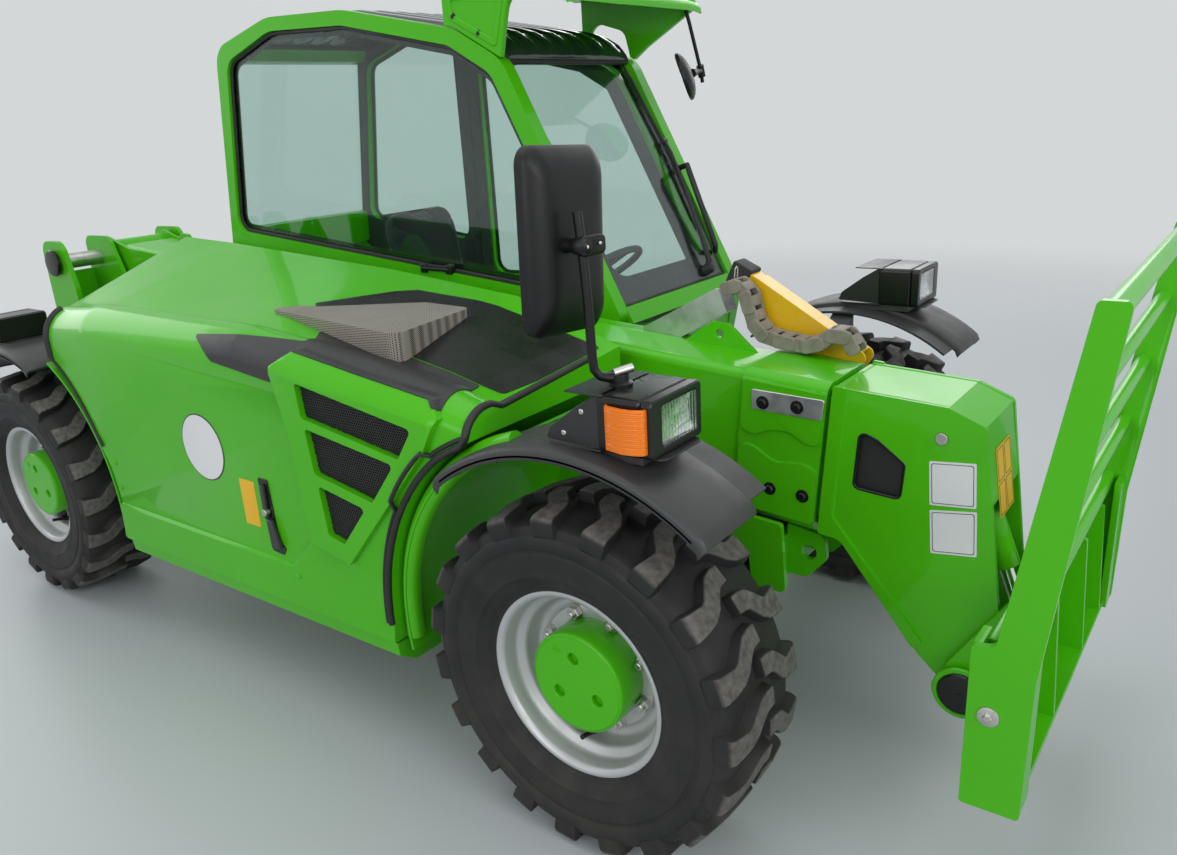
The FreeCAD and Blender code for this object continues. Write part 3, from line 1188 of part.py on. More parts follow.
# Mudguards: name, axle, inside radius, start and end in degrees, arm's place along X from the axle,
# its length, its top below the band's top, its height, and the seat's place and length
GUARDS = (
    ("front", S.front_axle_x, S.guard_radius, 53, 127, -40, 70, 10, 40, -20, 200),
    ("rear", rear_axle_x, S.guard_radius - 30, 68, 127, -200, 60, 35, 40, -170, 180),
)
lamp_heights = {}
for name, x, radius, start, end, arm_x, arm_length, arm_drop, arm_height, seat_x, seat_length in GUARDS:
    label = "guard_" + name
    top = axle_z + radius + S.guard_wall
    shell = joined(label + "_shell", [
        band(label + "_band", x, radius, S.guard_wall, start, end, -S.guard_outer,
             S.guard_outer - S.guard_inner),
        block(label + "_seat", (x + seat_x, 60 - S.guard_outer, top - 6), (seat_length, 160, 18)),
    ])
    sides = []
    for side, cover, low, high in (
            ("right", shell, -S.guard_inner - 20, plate_right),
            ("left", other_side(label + "_left_shell", shell), plate_left + S.channel_plate,
             S.guard_inner + 20)):
        if name == "front":
            near, far = (high, low) if side == "right" else (low, high)
            strut = slab("%s_strut_%s" % (label, side), "X", [[
                (near, 560), (near, 640), (far, top - 10), (far, top - 60)]], x + arm_x, arm_length)
            sides.append(joined("%s_%s" % (label, side), [cover, strut]))
        else:
            arm = block("%s_arm_%s" % (label, side), (x + arm_x, low, top - arm_drop - arm_height),
                        (arm_length, high - low, arm_height))
            sides.append(joined("%s_%s" % (label, side), [cover, arm]))
    node(name + "_mudguards", apart(name + "_mudguards", sides))
    lamp_heights[name] = top + 12


def lamp(name, x, y, z, size):
    """A lamp box with a sloping back."""
    length, width, height = size
    return slab(name, "Y", [[
        (x, z), (x + length, z), (x + length - 6, z + height, 12), (x + 40, z + height, 20),
        (x, z + height - 40, 14)]],
        y, width)


front_lamp_z = lamp_heights["front"]
lamp_front = lamp("lamp_front", S.front_axle_x + 5, 44 - S.guard_outer, front_lamp_z, (200, 192, 118))
lamp_rear = lamp("lamp_rear", rear_axle_x - 180, 50 - S.guard_outer, lamp_heights["rear"], (200, 190, 90))
node("lamp_boxes", apart("lamp_boxes", [
    lamp_front, other_side("lamp_front_left", lamp_front), lamp_rear,
    other_side("lamp_rear_left", lamp_rear)]))

lamp_top = front_lamp_z + 118
mirror_stem = joined("mirror_stem", [
    rod("stem_foot", "Z", 22, 24, S.front_axle_x + 60, 140 - S.guard_outer, lamp_top),
    rod("stem_pole", "Z", 10, 300, S.front_axle_x + 60, 140 - S.guard_outer, lamp_top),
    rod("stem_arm", "X", 9, 110, S.front_axle_x - 40, 140 - S.guard_outer, lamp_top + 270),
])
mirror_head = slab("mirror_head", "X", [[
    (50 - S.guard_outer, 1135, 40), (245 - S.guard_outer, 1135, 40), (245 - S.guard_outer, 1535, 40),
    (50 - S.guard_outer, 1535, 40)]], S.front_axle_x - 96, 62)
node("mirror_right", joined("mirror_right", [mirror_stem, mirror_head]))

node("mirror_left", joined("mirror_left", [
    rod("mirror_left_disc", "X", 84, 34, ahead(-700), 815, 1722),
    block("mirror_left_stem", (ahead(-692), 806, 1780), (18, 18, 138))]))

# The prop leans beside the collar: an open channel with a closed block at its upper end.
# Ends of its centre line in the boom's frame
PROP_ENDS = ((2846, 192), (3170, 32))
PROP_HALF = 42
PROP_WALL = 6
prop_in = S.boom_y + half_w + S.collar_wall + S.collar_pad
prop_turn, prop_length = towards(*PROP_ENDS)
prop_side = slab("prop_side", "Y", [[(0, -PROP_HALF), (prop_length, -PROP_HALF), (prop_length, PROP_HALF, 20),
                                     (0, PROP_HALF)]], 0.0, PROP_WALL)
prop_top = slab("prop_top", "Y", [[(0, PROP_HALF - PROP_WALL), (prop_length - 22, PROP_HALF - PROP_WALL),
                                   (prop_length - 22, PROP_HALF), (0, PROP_HALF)]], 0.0, 62)
prop_far = slab("prop_far", "Y", [[(0, -PROP_HALF), (prop_length, -PROP_HALF), (prop_length, PROP_HALF, 20),
                                   (0, PROP_HALF)]], 56, PROP_WALL)
prop_block = slab("prop_block", "Y", [[(-46, -PROP_HALF + 14), (40, -PROP_HALF + 8), (40, PROP_HALF - 2),
                                       (-46, PROP_HALF - 2, 8)]], PROP_WALL - 2, 54)
prop = joined("safety_prop", [prop_side, prop_top, prop_far, prop_block])
prop.Placement = Placement(Vector(PROP_ENDS[0][0], float(prop_in), PROP_ENDS[0][1]),
                           Rotation(Vector(0, 1, 0), prop_turn))
prop = apart("prop_laid", [prop])
node("safety_prop", lay(prop))

# The hoses leave the boom in a sloping channel and run on in a carrier of box links.
# The channel's side, its floor and the places of the links, in the boom's frame
TRAY_SIDE = [(2556, boom_top), (2556, boom_top + 8), (2786, 208, 8), (2818, 146, 4), (2682, boom_top)]
TRAY_FLOOR = [(2682, boom_top), (2818, 146), (2816, 149), (2676, boom_top + 3), (2556, boom_top + 3),
              (2556, boom_top)]
TRAY_WALL = 3
CARRIER = ((2806, 206), (2838, 218), (2866, 196), (2880, 160), (2896, 122), (2926, 96), (2966, 90),
           (3006, 88),
           (3046, 88), (3084, 102), (3110, 128), (3148, 130), (3172, 100))
carrier_y = S.boom_y + 58
carrier_width = 62
tray_inner = carrier_width - 2 * TRAY_WALL
tray_parts = [slab("tray_floor", "Y", [TRAY_FLOOR], carrier_y + TRAY_WALL, tray_inner)]
for name, y in (("near", carrier_y), ("far", carrier_y + carrier_width - TRAY_WALL)):
    tray_parts.append(slab("tray_side_" + name, "Y", [TRAY_SIDE], y, TRAY_WALL))
node("hose_tray", lay(joined("hose_tray", tray_parts)))


def link_outline(place_here, before, after):
    """A box link seen from the side, laid along the line from the link before to the link after."""
    turn = math.atan2(after[1] - before[1], after[0] - before[0])
    out = []
    for a, b in ((-23, -19), (23, -19), (23, 19), (-23, 19)):
        out.append((place_here[0] + a * math.cos(turn) - b * math.sin(turn),
                    place_here[1] + a * math.sin(turn) + b * math.cos(turn)))
    return out


links = []
for k, place_here in enumerate(CARRIER):
    before, after = CARRIER[max(k - 1, 0)], CARRIER[min(k + 1, len(CARRIER) - 1)]
    links.append(slab("carrier_link_%d" % k, "Y", [link_outline(place_here, before, after)],
                      carrier_y + TRAY_WALL, tray_inner))
node("hose_carrier", lay(joined("hose_carrier", links)))

doc.recompute()
for thing in doc.Objects:
    if "Invalid" in thing.State or "Error" in thing.State:
        raise RuntimeError("%s (%s): %s" % (thing.Name, thing.Label, thing.State))
for label, thing in NODES.items():
    shape = thing.Shape
    if shape.isNull() or not shape.isValid() or not shape.Solids:
        raise RuntimeError("bad shape in " + label)
for label, thing in NODES.items():
    thing.Shape.exportStep("parts/%s.step" % label)
print("%d sub-parts" % len(NODES))
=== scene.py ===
# %% [markdown]
# # A compact telehandler
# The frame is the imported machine: every solid piece at its real place, in metres, with +X forward,
# +Y to the left and +Z up. This lesson dresses it. Each cell adds one finish or one piece, says what it
# is on the real machine, and prints what it made. Shapes are worked out as whole numpy arrays.

# %% Load the frame
import math
import json

import bmesh
import bpy
import numpy as np
from mathutils import Matrix, Vector
from mathutils.bvhtree import BVHTree
from mathutils.geometry import tessellate_polygon


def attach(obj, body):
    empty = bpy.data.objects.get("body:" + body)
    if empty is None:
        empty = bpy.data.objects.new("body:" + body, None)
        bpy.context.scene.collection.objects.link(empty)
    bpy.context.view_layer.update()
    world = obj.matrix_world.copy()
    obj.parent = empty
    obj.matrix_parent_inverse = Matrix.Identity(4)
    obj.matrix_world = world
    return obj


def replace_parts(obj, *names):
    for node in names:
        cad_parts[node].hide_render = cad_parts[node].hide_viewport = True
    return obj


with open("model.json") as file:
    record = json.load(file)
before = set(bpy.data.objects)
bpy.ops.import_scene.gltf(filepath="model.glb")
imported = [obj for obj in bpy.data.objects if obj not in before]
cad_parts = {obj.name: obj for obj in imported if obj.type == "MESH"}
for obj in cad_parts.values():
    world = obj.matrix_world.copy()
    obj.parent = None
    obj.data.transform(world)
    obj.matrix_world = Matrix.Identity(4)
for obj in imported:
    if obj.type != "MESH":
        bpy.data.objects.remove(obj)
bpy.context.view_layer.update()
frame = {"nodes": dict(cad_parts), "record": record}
nodes = frame["nodes"]

# %% [markdown]
# ## Places that everything else is measured from
# The machine is drawn from its front axle, and the boom has a frame of its own that falls towards its head.
# `ahead` and `on_boom` turn those two ways of measuring into metres of the frame.

# %% Places
FRONT_AXLE_X = 1.066
REAR_AXLE_X = FRONT_AXLE_X - 2.460
AXLE_Z = 0.4155
WHEEL_Y = 0.755
BOOM_Y = -0.075
BOOM_PIVOT = np.array([FRONT_AXLE_X - 2.900, BOOM_Y, 1.140])
BOOM_SLOPE = math.radians(4.5)
BOOM_ALONG = np.array([math.cos(BOOM_SLOPE), 0.0, -math.sin(BOOM_SLOPE)])
BOOM_UP = np.array([math.sin(BOOM_SLOPE), 0.0, math.cos(BOOM_SLOPE)])
FORWARD, ACROSS, UP = np.eye(3)
CORNERS = (
    ("front_right", FRONT_AXLE_X, -1), ("front_left", FRONT_AXLE_X, 1),
    ("rear_right", REAR_AXLE_X, -1), ("rear_left", REAR_AXLE_X, 1),
)


def ahead(x, y, z):
    """A place given from the front axle, in metres."""
    return np.array([FRONT_AXLE_X + x, y, z], float)


def on_boom(along, y, up):
    """A place in the boom's frame: pivot + along * BOOM_ALONG + up * BOOM_UP, at the given y."""
    return np.array([BOOM_PIVOT[0], 0.0, BOOM_PIVOT[2]]) + along * BOOM_ALONG + up * BOOM_UP + y * ACROSS


print("front axle", FRONT_AXLE_X, "rear axle", round(REAR_AXLE_X, 3))

# %% [markdown]
# ## The camera
# The camera stands ahead of the machine on its engine side, a little above the mirror. Its own axes are
# written out, so the lens looks exactly as the photograph's did.

# %% Camera
CAMERA_RIGHT = Vector((0.80386, 0.59201, -0.05769))
CAMERA_UP = Vector((-0.14806, 0.29308, 0.94455))
CAMERA_AHEAD = Vector((-0.57610, 0.75075, -0.32325))
camera = bpy.data.objects.new("camera", bpy.data.cameras.new("camera"))
camera.data.lens = 28.973
camera.data.sensor_width = 36.0
camera.data.sensor_fit = "HORIZONTAL"
camera.data.shift_x = 0.00667
camera.data.shift_y = 0.00876
camera.matrix_world = Matrix((
    (CAMERA_RIGHT[0], CAMERA_UP[0], -CAMERA_AHEAD[0], FRONT_AXLE_X + 1.1172),
    (CAMERA_RIGHT[1], CAMERA_UP[1], -CAMERA_AHEAD[1], -2.2503),
    (CAMERA_RIGHT[2], CAMERA_UP[2], -CAMERA_AHEAD[2], 1.5885),
    (0.0, 0.0, 0.0, 1.0),
))
bpy.context.scene.collection.objects.link(camera)
bpy.context.scene.camera = camera
bpy.context.scene.view_settings.view_transform = "Standard"
print("camera at", [round(v, 3) for v in camera.matrix_world.translation])

# %% [markdown]
# ## Wiring shader nodes
# Every finish is a small graph of shader nodes. Two helpers make a node with its inputs set by name and join two
# sockets, so that a cell that draws a finish reads as a list of what flows into what.

# %% Helpers for shader nodes
def link(tree, a, b):
    tree.links.new(a, b)


def add(tree, kind, **values):
    """A shader node with its inputs and properties set by name; inputs are those that the node has."""
    node = tree.nodes.new(kind)
    for name, value in values.items():
        label = name.replace("_", " ")
        if label in node.inputs and not isinstance(value, bpy.types.NodeSocket):
            node.inputs[label].default_value = value
        elif label in node.inputs:
            tree.links.new(value, node.inputs[label])
        else:
            setattr(node, name, value)
    return node


print("node helpers ready")

# %% [markdown]
# ## Floor and studio light
# A workshop floor is pale sealed concrete. One soft lamp overhead and one from each of four sides light the
# paint evenly, and their large faces give the broad highlights that gloss paint shows. Far from the
# machine the floor thins out into the pale wall, which is the colour that the world shows to the camera.

# %% Floor and light
def plane(name, centre, half):
    """A flat square, centre +- half, as four points."""
    corners = [(centre[0] + a * half, centre[1] + b * half, centre[2]) for a,
               b in ((-1, -1), (1, -1), (1, 1), (-1, 1))]
    mesh = bpy.data.meshes.new(name)
    mesh.from_pydata(corners, [], [(0, 1, 2, 3)])
    thing = bpy.data.objects.new(name, mesh)
    bpy.context.scene.collection.objects.link(thing)
    return thing


def lamp(name, place, target, size, power, colour=(1.0, 1.0, 1.0)):
    """An area lamp at a place, turned to look at a target."""
    light = bpy.data.lights.new(name, "AREA")
    light.shape = "RECTANGLE"
    light.size, light.size_y = size
    light.energy = power
    light.color = colour
    thing = bpy.data.objects.new(name, light)
    thing.location = place
    thing.rotation_euler = (Vector(target) - Vector(place)).to_track_quat("-Z", "Y").to_euler()
    bpy.context.scene.collection.objects.link(thing)
    return thing


floor = plane("floor", (0.0, 0.0, 0.0), 30.0)
floor_paint = bpy.data.materials.new("floor_paint")
floor_paint.use_nodes = True
floor_shader = floor_paint.node_tree.nodes["Principled BSDF"]
floor_shader.inputs["Base Color"].default_value = (0.50, 0.535, 0.55, 1.0)
floor_shader.inputs["Roughness"].default_value = 0.42
floor.data.materials.append(floor_paint)
tree = floor_paint.node_tree
from_middle = add(tree, "ShaderNodeVectorMath", operation="LENGTH")
link(tree, tree.nodes.new("ShaderNodeTexCoord").outputs["Object"], from_middle.inputs[0])
thin = add(tree, "ShaderNodeMapRange", interpolation_type="SMOOTHSTEP", Value=from_middle.outputs["Value"])
thin.inputs["From Min"].default_value = 3.2
thin.inputs["From Max"].default_value = 9.0
floor_mix = tree.nodes.new("ShaderNodeMixShader")
link(tree, thin.outputs["Result"], floor_mix.inputs["Fac"])
link(tree, floor_shader.outputs["BSDF"], floor_mix.inputs[1])
link(tree, tree.nodes.new("ShaderNodeBsdfTransparent").outputs["BSDF"], floor_mix.inputs[2])
link(tree, floor_mix.outputs["Shader"], tree.nodes["Material Output"].inputs["Surface"])

world = bpy.data.worlds.new("studio")
world.use_nodes = True
light = world.node_tree.nodes["Background"]
light.inputs["Color"].default_value = (0.88, 0.91, 0.95, 1.0)
light.inputs["Strength"].default_value = 0.42
tree = world.node_tree
wall = add(tree, "ShaderNodeBackground", Color=(0.66, 0.68, 0.69, 1.0))
rays = tree.nodes.new("ShaderNodeLightPath").outputs
seen = add(tree, "ShaderNodeMath", operation="MAXIMUM")
seen_too = add(tree, "ShaderNodeMath", operation="MAXIMUM")
world_mix = tree.nodes.new("ShaderNodeMixShader")
link(tree, rays["Is Camera Ray"], seen.inputs[0])
link(tree, rays["Is Glossy Ray"], seen.inputs[1])
link(tree, seen.outputs[0], seen_too.inputs[0])
link(tree, rays["Is Transmission Ray"], seen_too.inputs[1])
link(tree, seen_too.outputs[0], world_mix.inputs["Fac"])
link(tree, light.outputs["Background"], world_mix.inputs[1])
link(tree, wall.outputs["Background"], world_mix.inputs[2])
link(tree, world_mix.outputs["Shader"], tree.nodes["World Output"].inputs["Surface"])
bpy.context.scene.world = world
lamp("overhead", (0.3, -0.2, 5.5), (0.0, 0.0, 0.5), (6.0, 5.0), 85.0)
lamp("engine_side", (1.0, -6.5, 3.2), (0.0, -0.4, 0.8), (6.0, 3.0), 120.0)
lamp("nose", (5.5, -2.0, 3.0), (1.2, -0.2, 0.7), (4.0, 3.0), 100.0)
lamp("cab_side", (-1.0, 6.0, 3.5), (0.0, 0.5, 1.0), (5.0, 3.0), 100.0)
lamp("tail", (-6.0, -1.0, 3.0), (-1.5, 0.0, 0.9), (4.0, 3.0), 75.0)

# %% [markdown]
# ## Turning arrays into pieces
# Every new piece below ends the same way: an array of points and a list of faces become a mesh, curved
# parts are shaded smooth up to a given angle, and the piece rides on the body that carries it. Keeping
# that in one helper leaves the cells free to talk about shapes.

# %% Helpers for meshes
SLOTS = {n["node"]: n["material_slot"] for n in frame["record"]["subparts"]}


def soften(mesh, angle):
    """Shades a mesh smooth, except along edges that turn by more than the angle in degrees."""
    mesh.shade_smooth()
    mesh.set_sharp_from_angle(angle=math.radians(angle))


def walled(piece, thickness, offset=0.0):
    """A Solidify modifier: the sheet gets a wall, about its middle or, with offset -1, behind its face."""
    wall = piece.modifiers.new("wall", "SOLIDIFY")
    wall.thickness = thickness
    wall.offset = offset


def rounded_edges(piece, radius, steps=2, limit=32.0):
    """A Bevel modifier: each edge sharper than the limit gets a strip of this radius."""
    bevel = piece.modifiers.new("rounded_edges", "BEVEL")
    bevel.width = radius
    bevel.segments = steps
    bevel.limit_method = "ANGLE"
    bevel.angle_limit = math.radians(limit)
    bevel.harden_normals = True
    bevel.miter_outer = "MITER_ARC"
    return bevel


def gather(parts):
    """Several (points, faces) pairs as one, with each list of faces moved on by the points before it."""
    points, faces, start = [], [], 0
    for p, f in parts:
        points.append(np.asarray(p, float).reshape(-1, 3))
        faces.extend([[int(k) + start for k in face] for face in f])
        start += len(points[-1])
    return np.concatenate(points), faces


def piece_from(name, parts, body, finish, angle=35.0, doubles=1e-6):
    """Pairs of points (n, 3) in metres and faces as index lists become one object on a body, with its finish.
    Points closer than doubles are merged, which closes poles, and the faces of each closed form are turned
    outwards."""
    points, faces = gather(parts)
    mesh = bpy.data.meshes.new(name)
    mesh.from_pydata(points.tolist(), [], faces)
    work = bmesh.new()
    work.from_mesh(mesh)
    bmesh.ops.remove_doubles(work, verts=work.verts, dist=doubles)
    bmesh.ops.recalc_face_normals(work, faces=work.faces)
    work.to_mesh(mesh)
    work.free()
    soften(mesh, angle)
    mesh.materials.append(finish)
    piece = bpy.data.objects.new(name, mesh)
    bpy.context.scene.collection.objects.link(piece)
    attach(piece, body)
    return piece


def grid_faces(rows, columns, close_rows=False, close_columns=False):
    """Four-sided faces of a grid whose point (i, j) has index i * columns + j."""
    i = np.arange(rows if close_rows else rows - 1)[:, None]
    j = np.arange(columns if close_columns else columns - 1)[None, :]
    a = i * columns + j
    b = i * columns + (j + 1) % columns
    c = (i + 1) % rows * columns + (j + 1) % columns
    d = (i + 1) % rows * columns + j
    return np.stack([a, b, c, d], -1).reshape(-1, 4)


def rounded(corners, steps=5):
    """A closed outline whose corners (a, b, radius) are arcs: each arc starts and ends radius / tan(half the
    corner's angle) from the corner, and its points are the centre plus a turning unit vector."""
    out = []
    count = len(corners)
    for k in range(count):
        here = np.array(corners[k][:2], float)
        radius = corners[k][2] if len(corners[k]) > 2 else 0.0
        before = np.array(corners[k - 1][:2], float) - here
        after = np.array(corners[(k + 1) % count][:2], float) - here
        before /= np.linalg.norm(before)
        after /= np.linalg.norm(after)
        half = 0.5 * math.acos(float(np.clip(before @ after, -1, 1)))
        if radius <= 0 or half > 1.55:
            out.append(here[None])
            continue
        centre = here + (before + after) / np.linalg.norm(before + after) * radius / math.sin(half)
        first = here + before * radius / math.tan(half) - centre
        last = here + after * radius / math.tan(half) - centre
        sweep = math.atan2(first[0] * last[1] - first[1] * last[0], first @ last)
        turn = np.linspace(0.0, sweep, steps + 1)
        out.append(centre + np.stack([first[0] * np.cos(turn) - first[1] * np.sin(turn),
                                      first[0] * np.sin(turn) + first[1] * np.cos(turn)], -1))
    return np.concatenate(out)


def plate(outlines, depth, origin, along, up, edge=0.0015):
    """A plate: an outline (n, 2), and holes after it, laid on the axes along and up and drawn out by depth along
    their cross product. Outline and holes are set in by the edge radius on both faces, by moving each point along
    the sum of its two sides' normals, so that each rim is three bands: chamfer, side, chamfer."""
    along, up = np.asarray(along, float), np.asarray(up, float)
    out = np.cross(along, up)
    edge = min(edge, abs(depth) * 0.4)
    points, faces, loops, start = [], [], [], 0
    for k, outline in enumerate(outlines):
        outline = np.asarray(outline, float)
        after = np.roll(outline, -1, 0)
        area = np.sum(outline[:, 0] * after[:, 1] - outline[:, 1] * after[:, 0])
        if (area < 0) == (k == 0):
            outline = outline[::-1]
        step = np.roll(outline, -1, 0) - outline
        step /= np.linalg.norm(step, axis=1)[:, None]
        inward = np.stack([-step[:, 1], step[:, 0]], -1)
        pull = inward + np.roll(inward, 1, 0)
        pull /= np.maximum((pull * inward).sum(1), 0.3)[:, None]
        for margin, height in ((edge, 0.0), (0.0, edge), (0.0, depth - edge), (edge, depth)):
            flat = outline + pull * margin
            points.append(np.asarray(origin, float) + flat[:, :1] * along + flat[:, 1:] * up + height * out)
        faces += (grid_faces(4, len(outline), close_columns=True) + start).tolist()
        loops.append((outline + pull * edge, start))
        start += 4 * len(outline)
    number = np.concatenate([first + np.arange(len(flat)) for flat, first in loops])
    count = np.concatenate([np.full(len(flat), len(flat)) for flat, first in loops])
    for triangle in tessellate_polygon([[Vector((*p, 0.0)) for p in flat] for flat, first in loops]):
        picked = list(triangle)
        faces += [number[picked].tolist(), (number[picked] + 3 * count[picked]).tolist()]
    return np.concatenate(points), faces


def circle(x, y, radius, sides=24):
    """Points round a circle."""
    t = np.arange(sides) * 2 * np.pi / sides
    return np.stack([x + radius * np.cos(t), y + radius * np.sin(t)], -1)


def turned(profile, centre, axis, sides=48):
    """A turned part: the profile (n, 2) of distance along the axis and radius, carried round the axis. Points are
    centre + axis * distance + radius * (u cos t + v sin t). Radius 0 at an end closes it to a pole."""
    profile = np.asarray(profile, float)
    axis = np.asarray(axis, float) / np.linalg.norm(axis)
    u = np.cross(axis, (0.0, 0.0, 1.0) if abs(axis[2]) < 0.9 else (1.0, 0.0, 0.0))
    u /= np.linalg.norm(u)
    v = np.cross(axis, u)
    t = np.arange(sides) * 2 * np.pi / sides
    round_it = np.cos(t)[:, None] * u + np.sin(t)[:, None] * v
    points = np.asarray(centre, float) + profile[:, None, :1] * axis + profile[:, None, 1:] * round_it[None]
    return points.reshape(-1, 3), grid_faces(len(profile), sides, close_columns=True).tolist()


def tube(path, radius, sides=12):
    """A round bar along a path: at each point a circle across the path's direction, its start turned as little as
    possible from the one before, with a flat cap at each end."""
    path = np.asarray(path, float)
    along = np.gradient(path, axis=0)
    along /= np.linalg.norm(along, axis=1)[:, None]
    side = np.cross(along[0], (0.0, 0.0, 1.0))
    if np.linalg.norm(side) < 0.1:
        side = np.cross(along[0], (1.0, 0.0, 0.0))
    frames = []
    for direction in along:
        side = side - direction * (side @ direction)
        side /= np.linalg.norm(side)
        frames.append((side, np.cross(direction, side)))
    t = np.arange(sides) * 2 * np.pi / sides
    u = np.array([f[0] for f in frames])[:, None]
    v = np.array([f[1] for f in frames])[:, None]
    size = np.broadcast_to(np.asarray(radius, float), len(path))[:, None, None]
    points = path[:, None] + size * (u * np.cos(t)[None, :, None] + v * np.sin(t)[None, :, None])
    faces = grid_faces(len(path), sides, close_columns=True).tolist()
    last = (len(path) - 1) * sides
    faces += [list(range(sides)), list(range(last, last + sides))]
    return points.reshape(-1, 3), faces


print("helpers ready;", len(SLOTS), "nodes have a slot")

# %% [markdown]
# ## Outlines and the plates cut from them
# Most trim is a plate, so a few short helpers give the outlines that recur: a rounded box, a box along a line, and
# an outline moved inwards by the width of a border. Others lay a plate upright, flat, or in the boom's own frame.

# %% Helpers for outlines and plates
def box_outline(x, z, width, height, radius=0.004, steps=4):
    """A rounded rectangle about its middle."""
    a, b = width / 2, height / 2
    return rounded([(x - a, z - b, radius), (x + a, z - b, radius), (x + a, z + b, radius), (x - a, z + b, radius)],
                   steps)


def bar_outline(a, b, half, over, radius, steps=4):
    """A rounded box round the line from a to b in a plane: half its height to each side, and over past its ends."""
    a, b = np.asarray(a, float), np.asarray(b, float)
    run = (b - a) / np.linalg.norm(b - a)
    side = np.array([-run[1], run[0]])
    return rounded([(*(a - over * run - half * side), radius), (*(b + over * run - half * side), radius),
                    (*(b + over * run + half * side), radius), (*(a - over * run + half * side), radius)], steps)


def inset(outline, distance):
    """A closed outline moved inwards: each point goes along the sum of its two sides' normals."""
    outline = np.asarray(outline, float)
    after = np.roll(outline, -1, 0)
    turn = 1.0 if np.sum(outline[:, 0] * after[:, 1] - outline[:, 1] * after[:, 0]) > 0 else -1.0
    step = after - outline
    step /= np.maximum(np.linalg.norm(step, axis=1), 1e-9)[:, None]
    normal = turn * np.stack([-step[:, 1], step[:, 0]], -1)
    pull = normal + np.roll(normal, 1, 0)
    pull /= np.maximum((pull * normal).sum(1), 0.4)[:, None]
    return outline + distance * pull


def in_metres(corners):
    """Corners in millimetres, with their radii, as a rounded outline in metres."""
    return rounded([tuple(v / 1000.0 for v in corner) for corner in corners], 6)


def round_quad(corners, distance, radius=0.005):
    """The sharp corners moved inwards by a distance, then rounded."""
    return rounded([(*corner, radius) for corner in inset(corners, distance)], 4)


def upright(outlines, depth, y, edge=0.0012):
    """A plate that stands along the machine: outlines in (ahead, z), drawn out from y towards the engine side."""
    return plate(outlines, depth, ahead(0.0, y, 0.0), FORWARD, UP, edge)


def level(outlines, depth, centre, edge=0.0008):
    """A plate that lies flat: outlines in (forward, left) from a centre, drawn out upwards."""
    return plate(outlines, depth, centre, FORWARD, ACROSS, edge)


def boom_plate(outlines, depth, y, edge=0.001):
    """The same in the boom's frame."""
    return plate(outlines, depth, on_boom(0.0, y, 0.0), BOOM_ALONG, BOOM_UP, edge)


def bolt_on(place, out, radius=0.011, height=0.009, sides=6):
    """A washer and a chamfered head, standing on a face."""
    return [turned([(0, 0), (0, radius * 1.55), (0.002, radius * 1.5), (0.002, 0)], place, out, 24),
            turned([(0.001, 0), (0.001, radius), (height - 0.0015, radius), (height, radius * 0.84), (height, 0)],
                   place, out, sides)]


print("outlines and plates: 9 helpers")

# %% [markdown]
# ## Finishes
# Paint, plastic, rubber and steel all break up light in the same few ways: the colour drifts a little over a
# hand's width, the gloss varies with handling and dust, and a fine relief covers the whole face. So one
# helper builds that skeleton from three noises on Object coordinates, and each finish only says how much.
# A Bevel node feeds the normal, so that every sharp edge of a CAD solid still catches a thread of light.

# %% A helper for finishes
def drifting(tree, place, scale, low, high, detail=3.0):
    """A number that drifts between low and high: noise from 0.3 to 0.7, stretched to that range."""
    noise = add(tree, "ShaderNodeTexNoise", Vector=place, Scale=scale, Detail=detail)
    stretch = add(tree, "ShaderNodeMapRange", Value=noise.outputs["Fac"])
    stretch.inputs["From Min"].default_value = 0.3
    stretch.inputs["From Max"].default_value = 0.7
    stretch.inputs["To Min"].default_value = low
    stretch.inputs["To Max"].default_value = high
    return stretch.outputs["Result"]


